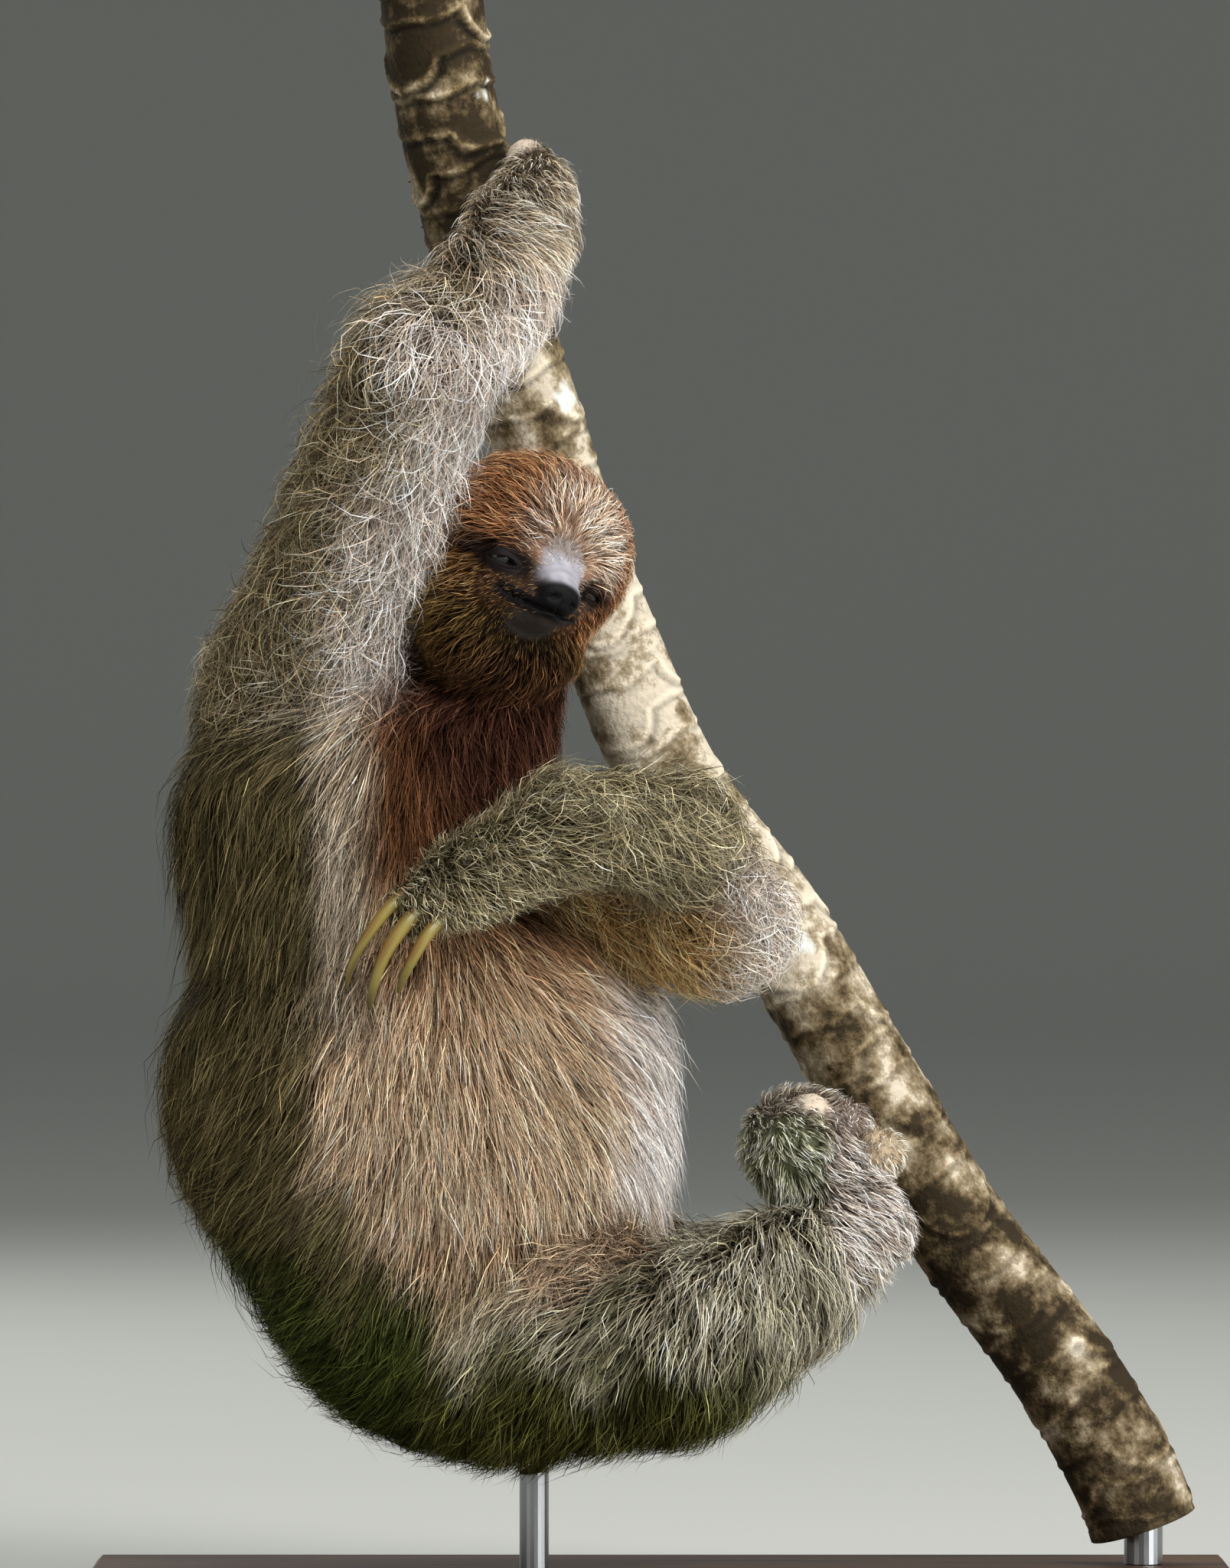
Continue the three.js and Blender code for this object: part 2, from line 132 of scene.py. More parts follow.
# %% Floor that sweeps up into a wall
FLOOR_RADIUS = 14.0
WALL_RADIUS = 22.0
WALL_HEIGHT = 12.0


def floor_profile():
    flat = [(FLOOR_RADIUS * i / 4, 0.0) for i in range(5)]
    sweep_radius = WALL_RADIUS - FLOOR_RADIUS
    turns = np.linspace(0, math.pi / 2, 13)[1:]
    curve = [(FLOOR_RADIUS + sweep_radius * math.sin(a), sweep_radius * (1 - math.cos(a))) for a in turns]
    return flat + curve + [(WALL_RADIUS, WALL_HEIGHT)]


def revolve(name, profile, sides):
    mesh = bpy.data.meshes.new(name)
    shape = bmesh.new()
    edges = []
    points = [shape.verts.new((r, 0, z)) for r, z in profile]
    for a, b in zip(points, points[1:]):
        edges.append(shape.edges.new((a, b)))
    bmesh.ops.spin(shape, geom=points + edges, cent=(0, 0, 0), axis=(0, 0, 1), steps=sides,
                   angle=2 * math.pi)
    bmesh.ops.remove_doubles(shape, verts=shape.verts, dist=1e-5)
    bmesh.ops.recalc_face_normals(shape, faces=shape.faces)
    shape.to_mesh(mesh)
    mesh.shade_smooth()
    return show(name, mesh)


floor = revolve("studio_floor", floor_profile(), 64)
paper, paper_surface = new_material("matt_studio_paper", 0.95, Specular_IOR_Level=0.1)
paper_surface.inputs["Base Color"].default_value = rgba("#b9bab4")
floor.data.materials.append(paper)

# %% Lamps and sky
AIM_HEIGHT = 0.33
LAMPS = [  # name, place in metres, width in metres, watts
    ("key", (2.0, -3.8, 3.0), 2.0, 205),
    ("low right", (3.6, -2.2, 0.8), 1.4, 92),
    ("left", (-3.2, -3.4, 1.5), 2.8, 20),
    ("top", (0.4, -0.2, 4.0), 2.0, 72),
    ("behind", (-1.8, 3.2, 2.4), 2.0, 60),
]
for name, place, size, watts in LAMPS:
    lamp = bpy.data.lights.new(name, "AREA")
    lamp.size = size
    lamp.energy = watts
    holder = show(name, lamp)
    holder.location = place
    holder.visible_camera = False
    aim = Vector((0, 0, AIM_HEIGHT)) - Vector(place)
    holder.rotation_euler = aim.to_track_quat("-Z", "Y").to_euler()
world = bpy.data.worlds.new("overcast")
bpy.context.scene.world = world
world.use_nodes = True
world.node_tree.nodes["Background"].inputs["Color"].default_value = rgba("#eef1f3")
world.node_tree.nodes["Background"].inputs["Strength"].default_value = 0.3
bpy.context.scene.view_settings.view_transform = "Standard"
print("lamps:", len(LAMPS))

# %% [markdown]
# ## The skeleton
# Every limb is a chain of joints. Each joint has a place, the radius of the flesh there and the depth of the
# coat over it, all in millimetres. The same chain later gives the skin its shape and the hair its length and
# lie, so skin and coat can't drift apart.

# %% Joints: x, y, z, flesh radius, coat depth
LIMBS = {
    "arm_right": [(-152, 4, 370, 25, 16), (-121, -49, 443, 18, 16), (-98, -92, 502, 15, 20),
                  (-71, -66, 531, 13, 19), (-57, -42, 559, 15, 11), (-52, -27, 575, 11, 8),
                  (-53, -14, 587, 8, 3)],
    "arm_left": [(-40, 8, 291, 20, 14), (25, -31, 277, 14, 17), (8, -66, 316, 13, 14),
                 (-39, -86, 317, 13, 14), (-79, -94, 295, 11, 11), (-99, -98, 285, 9, 6)],
    "leg_right": [(-58, -16, 110, 37, 23), (6, -40, 107, 24, 22), (46, -18, 128, 18, 20),
                  (80, 2, 154, 14, 14), (57, 10, 186, 20, 8), (76, 16, 196, 8, 4)],
    "leg_left": [(-46, 46, 122, 32, 20), (20, 80, 117, 22, 18), (82, 92, 148, 12, 12),
                 (101, 92, 164, 10, 8)],
    "neck": [(-62, 2, 400, 22, 8), (-84, 8, 344, 30, 12)],
    "tail": [(-92, 52, 92, 10, 10), (-100, 70, 70, 6, 7)],
}
TRUNK = [  # centre, radii out to the hair tips, twist about Z in degrees
    ((-122, 8, 321), (83, 60, 83), 20),
    ((-99, 4, 214), (108, 72, 108), 10),
    ((-80, 2, 138), (86, 69, 78), 15),
]
TRUNK_COAT = 19
HEAD_AT = np.array([-54.0, -28.0, 428.0])
HEAD_TURN, HEAD_LEAN = math.radians(29.5), math.radians(23)
HEAD_PARTS = [  # centre and radii in the head's own frame: side, back, up
    ((2.5, 3, 1), (39.5, 31, 35)),
    ((0, -8, -8), (28, 22, 21)),
    ((0, -6, -18), (24, 24, 14)),
    ((0, -21, -20), (12, 13, 8)),
    ((3, 2, -30), (33.5, 22, 24)),
]
SNOUT = ((0, -18, -5), (0, -31, -10), 13.0, 9.6)
NOSE_PAD = ((1.0, -37.2, -12), (9.4, 4.2, 6.4))
EYE_SIDE, EYE_FORWARD, EYE_UP, EYE_RADIUS = 21.3, 17.9, -6.5, 5.6


def turn_y(a):
    return np.array([[math.cos(a), 0, math.sin(a)], [0, 1, 0], [-math.sin(a), 0, math.cos(a)]])


def turn_z(a):
    return np.array([[math.cos(a), -math.sin(a), 0], [math.sin(a), math.cos(a), 0], [0, 0, 1]])


HEAD_AXES = turn_y(HEAD_LEAN) @ turn_z(HEAD_TURN)


def to_head(p):
    return (p - HEAD_AT) @ HEAD_AXES


def from_head(q):
    return np.asarray(q) @ HEAD_AXES.T + HEAD_AT


# %% [markdown]
# ## Distance fields
# A distance field says how far a point is from the skin, and is negative inside. Fields join softly where
# flesh runs into flesh, and a field can be asked anywhere, so it later tells each hair how high it lies.


# %% Fields of round cones and ellipsoids
def round_cone(p, a, b, ra, rb):
    a, b = np.array(a, float), np.array(b, float)
    along = b - a
    t = np.clip((p - a) @ along / (along @ along), 0, 1)
    return np.linalg.norm(p - a - t[:, None] * along, axis=1) - (ra + t * (rb - ra))


def ellipsoid(p, centre, radii, twist=0.0):
    q = (p - np.array(centre, float)) @ turn_z(math.radians(twist))
    radii = np.array(radii, float)
    near = np.linalg.norm(q / radii, axis=1)
    far = np.linalg.norm(q / radii ** 2, axis=1)
    return near * (near - 1) / np.maximum(far, 1e-9)


def join(a, b, softness):
    h = np.maximum(softness - np.abs(a - b), 0) / softness
    return np.minimum(a, b) - h * h * softness / 4


def join_all(fields, softness):
    result = fields[0]
    for field in fields[1:]:
        result = join(result, field, softness)
    return result


def limb_field(p, joints):
    return join_all([round_cone(p, a[:3], b[:3], a[3], b[3]) for a, b in zip(joints, joints[1:])], 8)


def trunk_field(p):
    return join_all([ellipsoid(p, centre, np.array(radii) - TRUNK_COAT, twist)
                     for centre, radii, twist in TRUNK], 36)


def away_from(p, place):
    return np.linalg.norm(p - np.array(place), axis=1)


def bump(value, width):
    return np.exp(-(value / width) ** 2)


MOUTH_HALF = 19.0
EYE_AT = {-1: (-EYE_SIDE, -EYE_FORWARD, EYE_UP), 1: (EYE_SIDE, -EYE_FORWARD, EYE_UP)}
LID_THICKNESS = 0.8
TOES = [((61, 1, 201), 7.0), ((75, 4, 197), 6.5), ((89, 8, 183), 9.5), ((-56, -14, 589), 7.4)]
BARE_TOES = (TOES[0], TOES[3])


def mouth_height(side):
    return -19.4 + 1.8 * (np.abs(side) / MOUTH_HALF) ** 2 + 0.8 * np.exp(-(side / 4) ** 2)


def face_relief(q):
    """Millimetres carved into the face (above 0) or raised on it (below 0), in the head's frame."""
    side, front, up = q[:, 0], -q[:, 1], q[:, 2]
    facing = np.clip((front - 8) / 10, 0, 1)
    in_mouth = np.clip((MOUTH_HALF + 1.5 - np.abs(side)) / 3, 0, 1) * facing
    line = up - mouth_height(side)
    carved = 2.2 * bump(line, 0.65) * in_mouth
    carved -= 0.5 * bump(line - 2.4, 1.7) * in_mouth + 0.4 * bump(line + 2.6, 1.8) * in_mouth
    nose_front = np.clip((front - 31) / 4, 0, 1)
    pad = np.hypot((side - 1) / 9.2, (up + 11.5) / 6.0)
    carved += 0.2 * bump(pad - 1.2, 0.12) * nose_front
    for s in (-1, 1):
        nostril = np.hypot((side - 1 - s * 4.6) / 1.8, (up + 13.2 + 0.3 * s * (side - s * 4.6)) / 1.2)
        carved += 1.5 * np.exp(-nostril ** 2) * nose_front
        x, z = s * side - EYE_SIDE, up - EYE_UP
        carved -= 1.5 * np.exp(-((x + 1) / 11) ** 2 - ((z - 8) / 3.2) ** 2) * facing
        carved -= 0.9 * np.exp(-(x / 8) ** 2 - ((z + 7.5) / 2.5) ** 2) * facing
        carved += 1.6 * np.exp(-((x + 8.5) / 3.2) ** 2 - ((z + 1) / 4.5) ** 2) * facing
        carved += 0.45 * bump(z - 3.1 + 0.05 * x ** 2, 0.45) * (np.abs(x) < 8) * facing
        carved += 0.35 * bump(z + 3.4 - 0.05 * x ** 2, 0.45) * (np.abs(x) < 7) * facing
    below_nose = np.clip((-13 - up) / 2, 0, 1) * np.clip((up + 19) / 2, 0, 1)
    carved += 0.5 * bump(side, 0.5) * below_nose * nose_front
    return carved


def lids_and_sockets(q, face):
    """Each eye bulges a little under its lids, which part in a slit that the ball shows through."""
    for s, place in EYE_AT.items():
        at = q - np.array(place)
        away = np.linalg.norm(at, axis=1)
        face = face + 0.7 * bump(away - 9.5, 3.0) * (at[:, 1] < 2)
        face = join(face, away - (EYE_RADIUS + LID_THICKNESS), 3.0)
        across = np.clip(1 - (at[:, 0] / 5.8) ** 2, 0, 1)
        slit = np.abs(at[:, 2] + 0.4 + 0.02 * at[:, 0] ** 2) / (1.15 * across + 0.05)
        face = face + 2.4 * smooth_cut(slit) * (across > 0) * (at[:, 1] < 0) * (away < EYE_RADIUS + 3)
    return face


def smooth_cut(value):
    return np.clip((1.35 - value) / 0.7, 0, 1)


def head_field(p, fine=False):
    q = to_head(p)
    result = join_all([ellipsoid(q, centre, radii) for centre, radii in HEAD_PARTS], 6)
    result = join(result, round_cone(q, *SNOUT), 9)
    if fine:
        result = join(result, ellipsoid(q, *NOSE_PAD), 4)
        result = lids_and_sockets(q, result + face_relief(q))
    return result


def skin_field(p, fine=False):
    body = trunk_field(p)
    body = join(body, limb_field(p, LIMBS["neck"]), 22)
    for name in ("arm_right", "arm_left", "leg_right", "leg_left"):
        body = join(body, limb_field(p, LIMBS[name]), 14)
    body = join(body, limb_field(p, LIMBS["tail"]), 10)
    for centre, radius in TOES:
        body = join(body, away_from(p, centre) - radius, 4)
    return join(body, head_field(p, fine), 9)


print("skin at the front of the belly:", round(float(skin_field(np.array([[-99.0, -60.0, 214.0]]))[0]), 1))

# %% [markdown]
# ## From field to mesh
# The field is sampled on a grid. Each cell that the skin crosses gets one vertex, drawn onto the skin along
# the field's slope, and each grid edge that the skin cuts gets one face: a surface net. It makes even quads
# with no seam, which matters because a museum skin is one piece.

# %% Sample the field on a grid
GRID_STEP = 4.0
GRID_LOW = np.array([-236.0, -150.0, 24.0])
GRID_HIGH = np.array([160.0, 150.0, 640.0])
grid_axes = [np.arange(lo, hi + GRID_STEP, GRID_STEP) for lo, hi in zip(GRID_LOW, GRID_HIGH)]
grid_shape = tuple(len(a) for a in grid_axes)
grid_points = np.stack(np.meshgrid(*grid_axes, indexing="ij"), axis=-1).reshape(-1, 3)
grid_values = skin_field(grid_points).reshape(grid_shape)
grid_slope = np.stack(np.gradient(grid_values, GRID_STEP), axis=-1)
print("grid cells:", grid_values.size)


# %% Surface net
def surface_net(values, low, step):
    inside = values < 0
    corners = sum(inside[i:inside.shape[0] - 1 + i, j:inside.shape[1] - 1 + j, k:inside.shape[2] - 1 + k]
                  .astype(int) for i in (0, 1) for j in (0, 1) for k in (0, 1))
    crossed = (corners > 0) & (corners < 8)
    number = np.full(crossed.shape, -1)
    number[crossed] = np.arange(crossed.sum())
    points = low + (np.argwhere(crossed) + 0.5) * step
    faces = []
    for axis in range(3):
        u, w = np.eye(3, dtype=int)[(axis + 1) % 3], np.eye(3, dtype=int)[(axis + 2) % 3]
        ahead = np.roll(inside, -1, axis=axis)
        at = np.argwhere(inside != ahead)
        at = at[(at > 0).all(axis=1) & (at < np.array(inside.shape) - 1).all(axis=1)]
        around = ((1, 1), (0, 1), (0, 0), (1, 0))
        quads = np.stack([number[tuple((at - a * u - b * w).T)] for a, b in around], axis=1)
        leaving = inside[tuple(at.T)]
        quads[~leaving] = quads[~leaving][:, ::-1]
        faces.append(quads)
    return points, np.concatenate(faces)


def slope_of(field, p, probe=0.35):
    here = field(p)
    rise = np.stack([field(p + probe * axis) - here for axis in np.eye(3)], axis=1) / probe
    return here, rise


def draw_to_skin(p, field, passes, furthest):
    for _ in range(passes):
        here, rise = slope_of(field, p)
        steep = np.maximum((rise ** 2).sum(axis=1), 0.3)
        p = p - np.clip(here / steep, -furthest, furthest)[:, None] * rise
    return p


def relaxed(p, faces, amount):
    total, count = np.zeros_like(p), np.zeros(len(p))
    for a, b in ((0, 1), (1, 2), (2, 3), (3, 0)):
        for i, j in ((faces[:, a], faces[:, b]), (faces[:, b], faces[:, a])):
            np.add.at(total, i, p[j])
            np.add.at(count, i, 1)
    return p + amount * (total / count[:, None] - p)


skin_points, skin_faces = surface_net(grid_values, GRID_LOW, GRID_STEP)
skin_points = draw_to_skin(skin_points, skin_field, 3, 3.0)
for _ in range(3):
    skin_points = draw_to_skin(relaxed(skin_points, skin_faces, 0.5), skin_field, 1, 2.0)
print("coarse skin:", len(skin_points), "points")

# %% [markdown]
# ## The face
# The face needs finer mesh than a back that hair hides. Its faces are split again and again, most round the
# eyes, nose and mouth, and the new points are drawn onto a field that has lids, nostrils and lips carved in.

# %% Split the head's faces and draw them onto the fine field
skin_mesh = bpy.data.meshes.new("skin")
shape = bmesh.new()
for point in skin_points:
    shape.verts.new(point)
shape.verts.ensure_lookup_table()
for quad in skin_faces:
    shape.faces.new([shape.verts[i] for i in quad])


def split_where(choose):
    middles = to_head(np.array([f.calc_center_median() for f in shape.faces]))
    chosen = choose(middles)
    edges = {e for f, yes in zip(shape.faces, chosen) if yes for e in f.edges}
    bmesh.ops.subdivide_edges(shape, edges=list(edges), cuts=1, use_grid_fill=True)
    points = np.array([vert.co for vert in shape.verts])
    near = choose(to_head(points), 6.0)
    points[near] = draw_to_skin(points[near], lambda p: skin_field(p, True), 4, 1.5)
    for vert, point in zip(shape.verts, points):
        vert.co = point


def in_face(q, margin=0.0):
    middle = np.array([0.0, -24.0, -9.0])
    return np.linalg.norm((q - middle) / np.array([1.25, 1.0, 0.95]), axis=1) < 24 + margin


def by_the_eyes(q, margin=0.0):
    return np.min([away_from(q, place) for place in EYE_AT.values()], axis=0) < 9 + margin


split_where(lambda q, margin=0.0: np.linalg.norm(q, axis=1) < 44 + margin)
split_where(lambda q, margin=0.0: in_face(q, margin + 6))
split_where(in_face)
split_where(by_the_eyes)
bmesh.ops.triangulate(shape, faces=[f for f in shape.faces if len(f.verts) != 4])
shape.to_mesh(skin_mesh)
shape.free()
skin_mesh.shade_smooth()
skin = show("skin", skin_mesh)
print("skin:", len(skin_mesh.vertices), "points,", len(skin_mesh.polygons), "faces")

# %% [markdown]
# ## Unwrap
# The skin is unwrapped by its own shape. The hair later borrows the place of its root on this unwrap, so a
# painted or baked picture of the skin colours the hair too.

# %% Smart unwrap of the skin
bpy.context.view_layer.objects.active = skin
skin.select_set(True)
skin_mesh.uv_layers.new(name="OFBake")
bpy.ops.object.mode_set(mode="EDIT")
bpy.ops.mesh.select_all(action="SELECT")
bpy.ops.uv.smart_project(angle_limit=math.radians(66), island_margin=0.002)
bpy.ops.object.mode_set(mode="OBJECT")
skin.select_set(False)
print("unwrapped:", skin_mesh.uv_layers.active.name)

# %% [markdown]
# ## The regions of the coat
# Each root belongs partly to several regions, by how near it lies to each limb. The weights are soft, so
# length, lie and colour run into each other as they do on an animal.

# %% How near a point is to each part
PART_NAMES = ["trunk", "neck", "head", "tail", "arm_right", "arm_left", "leg_right", "leg_left"]
TIP_HEAD_PARTS = [((2, 3, 1), (45, 36, 41)), ((0, -9, -8), (32, 24, 25)), ((0, -6, -19), (28, 25, 17)),
                  ((0, -25, -12), (14, 14, 11)), ((2, 2, -30), (40, 30, 31))]


def part_distances(p):
    fields = {"trunk": trunk_field(p), "head": head_field(p)}
    for name in PART_NAMES:
        if name in LIMBS:
            fields[name] = limb_field(p, LIMBS[name])
    return np.stack([fields[name] for name in PART_NAMES], axis=1)


def part_weights(p, softness=5.0):
    distances = part_distances(p)
    weights = np.exp(-(distances - distances.min(axis=1, keepdims=True)) / softness)
    return weights / weights.sum(axis=1, keepdims=True)


def tip_field(p):
    """Distance from the surface that the hair tips reach."""
    fields = [ellipsoid(p, centre, radii, twist) for centre, radii, twist in TRUNK]
    for joints in LIMBS.values():
        fields += [round_cone(p, a[:3], b[:3], a[3] + a[4], b[3] + b[4]) for a, b in zip(joints, joints[1:])]
    fields += [ellipsoid(to_head(p), centre, radii) for centre, radii in TIP_HEAD_PARTS]
    fields += [away_from(p, centre) - (radius + 4) for centre, radius in TOES[1:3]]
    return np.min(fields, axis=0)


def along_limb(p, joints):
    """How far along a limb's chain of joints each point is, and the limb's direction there."""
    best = np.full(len(p), 1e9)
    place, direction = np.zeros(len(p)), np.zeros((len(p), 3))
    for i, (a, b) in enumerate(zip(joints, joints[1:])):
        a_at, b_at = np.array(a[:3], float), np.array(b[:3], float)
        axis = b_at - a_at
        t = np.clip((p - a_at) @ axis / (axis @ axis), 0, 1)
        d = np.linalg.norm(p - a_at - t[:, None] * axis, axis=1) - (a[3] + t * (b[3] - a[3]))
        nearer = d < best
        best = np.where(nearer, d, best)
        place = np.where(nearer, i + t, place)
        direction[nearer] = axis / np.linalg.norm(axis)
    return place, direction


def smoothstep(low, high, x):
    t = np.clip((x - low) / (high - low), 0, 1)
    return t * t * (3 - 2 * t)


def unit(vectors):
    return vectors / np.maximum(np.linalg.norm(vectors, axis=-1, keepdims=True), 1e-9)


def backward_facing(normal):
    """How far a surface faces the animal's back, which is turned to one side."""
    return normal[:, 1] * 0.8 - normal[:, 0] * 0.75


def ripple(p, scale, seed):
    """Smooth noise from crossing waves, about -1 to 1, with features about the scale in millimetres."""
    waves = np.random.default_rng(seed)
    total = np.zeros(len(p))
    for _ in range(7):
        heading = unit(waves.normal(size=3)) * (2 * math.pi / scale) * waves.uniform(0.6, 1.5)
        total += np.sin(p @ heading + waves.uniform(0, 2 * math.pi))
    return total / 3.2


# %% [markdown]
# ## The lie of the coat
# A sloth's hair parts on the belly and falls towards the back, because the animal hangs upside down. On the
# forearms it runs from hand to elbow, and on the forehead it spreads from a whorl between the eyes. A groomer
# would comb it stroke by stroke, so the front is a table of comb strokes, each with a place and a heading,
# and the hair between them takes a weighted mean. The far side simply hangs.

# %% Comb strokes
STROKES = {  # x, z, heading in degrees: 0 is to the right, -90 is down
    "trunk": [(-195, 373, -115), (-198, 310, -100), (-176, 310, -92), (-154, 310, -90), (-195, 248, -95),
        (-167, 248, -97), (-139, 310, -92), (-136, 263, -95), (-145, 217, -120), (-176, 201, -140),
        (-195, 201, -125), (-139, 185, -130), (-176, 148, -160), (-158, 167, -150), (-139, 129, -155),
        (-192, 167, -165), (-120, 223, -105), (-101, 217, -95), (-82, 232, -88), (-82, 185, -92),
        (-101, 154, -105), (-120, 154, -118), (-64, 232, -70), (-64, 185, -85), (-45, 248, -35),
        (-39, 217, -65), (-45, 170, -90), (-26, 217, -60), (-20, 242, -35), (-11, 201, -75),
        (-20, 170, -95), (2, 232, -80), (2, 201, -90), (-1, 167, -110), (-64, 138, -100),
        (-39, 135, -110), (-95, 263, -120), (-76, 263, -60), (-58, 267, -25), (-32, 263, -15),
        (-120, 92, -150), (-145, 104, -155), (-82, 73, -140), (-95, 110, -130), (-64, 104, -135),
        (-39, 110, -130), (-51, 79, -125), (-26, 73, -120), (-70, 54, -150), (-120, 363, -160),
        (-120, 342, -125), (-108, 342, -105), (-95, 342, -85), (-129, 310, -120), (-114, 310, -110),
        (-95, 317, -100), (-82, 342, -75), (-70, 342, -60), (-58, 348, -70), (-126, 292, -110),
        (-51, 357, -60)],
    "leg_right": [(-26, 135, -150), (-1, 154, -155), (-8, 123, -125), (11, 135, -115), (11, 104, -100),
        (30, 117, -100), (49, 117, -95), (68, 123, -88), (80, 117, -95), (61, 92, -110), (30, 82, -125),
        (-1, 76, -120), (-26, 76, -120), (11, 60, -130), (-39, 104, -125), (20, 142, -125), (36, 137, -105),
        (55, 137, -90), (70, 137, -84), (36, 154, -98), (20, 158, -128), (49, 154, -76), (61, 154, -60),
        (72, 150, -62), (82, 150, -54), (93, 146, -50), (90, 136, -72), (99, 152, -28), (99, 160, -8),
        (96, 168, -15), (88, 170, -25), (80, 160, -40), (72, 160, -50), (62, 162, -50), (52, 160, -66),
        (42, 162, -85), (34, 166, -110), (36, 207, 5), (46, 207, -5), (58, 204, -30), (37, 198, -50),
        (36, 190, -80), (36, 180, -85), (44, 196, -30), (50, 192, -45), (48, 182, -62), (55, 182, -55),
        (62, 188, -40), (60, 176, -50), (52, 170, -58), (45, 172, -68), (68, 182, -35), (70, 174, -42),
        (76, 200, -95), (79, 190, -100), (76, 182, -80), (80, 176, -55), (88, 192, -100), (92, 180, -90)],
    "arm_left": [(-92, 301, -20), (-76, 317, 30), (-64, 326, 30), (-45, 335, 25), (-26, 342, 20),
        (-8, 342, 5), (11, 335, -25), (27, 323, -40), (-76, 295, -25), (-58, 304, -15), (-39, 310, -10),
        (-20, 317, -20), (-1, 313, -35), (18, 304, -45), (-82, 282, -60), (-64, 285, -45),
        (-45, 295, -35), (-20, 298, -30), (5, 292, -40), (30, 295, -50), (39, 279, -50), (-26, 279, -10),
        (-4, 276, -8), (18, 273, -15), (36, 270, -30), (46, 260, -40), (-4, 260, -15), (24, 257, -30),
        (-95, 282, -80)],
    "arm_right": [(-58, 592, -115), (-67, 582, -140), (-51, 582, -80), (-39, 576, -60), (-51, 560, -20),
        (-64, 563, 0), (-76, 560, -25), (-39, 554, -75), (-39, 529, -100), (-51, 535, -75),
        (-64, 545, -50), (-82, 551, -65), (-95, 546, -95), (-108, 541, -135), (-120, 532, -130),
        (-82, 529, -95), (-101, 523, -110), (-64, 517, -85), (-51, 513, -95), (-82, 504, -100),
        (-114, 504, -120), (-129, 498, -135), (-70, 492, -115), (-95, 485, -115), (-139, 479, -140),
        (-82, 473, -125), (-117, 470, -155), (-145, 467, -140), (-95, 460, -130), (-82, 460, -130),
        (-95, 442, -130), (-108, 423, -125), (-123, 451, -145), (-136, 442, -120), (-145, 417, -110),
        (-120, 429, -130), (-161, 410, -120), (-167, 388, -120), (-139, 398, -100), (-120, 392, -110),
        (-114, 379, -150), (-132, 373, -95), (-151, 373, -95), (-176, 373, -110), (-189, 373, -120),
        (-189, 385, -130)],
    "head": [(-51, 442, 140), (-67, 445, 165), (-82, 438, -170), (-45, 454, 105), (-58, 463, 130),
        (-70, 463, 150), (-76, 451, 160), (-32, 454, 75), (-23, 451, 45), (-17, 438, 10), (-29, 438, 30),
        (-20, 423, -35), (-25, 407, -60), (-29, 392, -75), (-36, 382, -85), (-82, 423, -175),
        (-95, 417, 175), (-89, 404, -165), (-76, 404, -160), (-95, 388, -150), (-76, 388, -145),
        (-64, 392, -140), (-51, 382, -125), (-70, 373, -120), (-39, 373, -95), (-89, 373, -135),
        (-64, 417, -165), (-51, 431, 170), (-45, 435, 150), (-32, 434, 30)],
    "neck": [(-95, 385, -150), (-76, 382, -145), (-51, 382, -125), (-70, 371, -120), (-39, 373, -95),
        (-95, 363, -120), (-82, 354, -95), (-64, 354, -75), (-51, 354, -65), (-39, 360, -85),
        (-114, 373, -150), (-95, 342, -90), (-70, 342, -70)],
}
STROKE_REACH = {"head": 9.0, "neck": 14.0, "leg_right": 9.0, "arm_right": 11.0}
DOWN = np.array([0.0, 0.0, -1.0])


# %% Which way the hair runs at each point
def combed(p, normal, name):
    strokes = np.array(STROKES[name], float)
    reach = STROKE_REACH.get(name, 15.0)
    far = (p[:, :1] - strokes[:, 0]) ** 2 + (p[:, 2:] - strokes[:, 1]) ** 2
    weight = np.exp(-(far - far.min(axis=1, keepdims=True)) / (2 * reach ** 2))
    weight = weight / weight.sum(axis=1, keepdims=True)
    heading = np.radians(strokes[:, 2])
    away = 0.25 - 0.6 * np.maximum(normal[:, 2], 0)
    return np.stack([weight @ np.cos(heading), away, weight @ np.sin(heading)], axis=1)


def lie(p, normal):
    weights = part_weights(p)
    flows = {}
    for name in PART_NAMES:
        if name in ("tail", "leg_left"):
            flows[name] = np.tile(DOWN + np.array([-0.5, 0.1, 0]), (len(p), 1))
            continue
        hang = np.tile(DOWN, (len(p), 1))
        if name.startswith(("arm", "leg")):
            hang = hang * 0.7 - along_limb(p, LIMBS[name])[1]
        if name == "head":
            hang = unit(p - from_head((0, -28, 10))) + DOWN * 0.5
        behind = smoothstep(0.0, 0.6, normal[:, 1])[:, None]
        flows[name] = combed(p, normal, name) * (1 - behind) + hang * behind
    total = sum(flows[name] * weights[:, i:i + 1] for i, name in enumerate(PART_NAMES))
    total = total - (total * normal).sum(axis=1, keepdims=True) * normal
    return unit(total)


# %% [markdown]
# ## The colours of the coat
# Each region has three colours, for the root, the middle and the tip of its hair. Algae tints the back and
# rump green, the belly is tan, the chest rusty and the throat nearly black. Hair and skin ask the same
# function, so a gap in the coat shows the same markings.

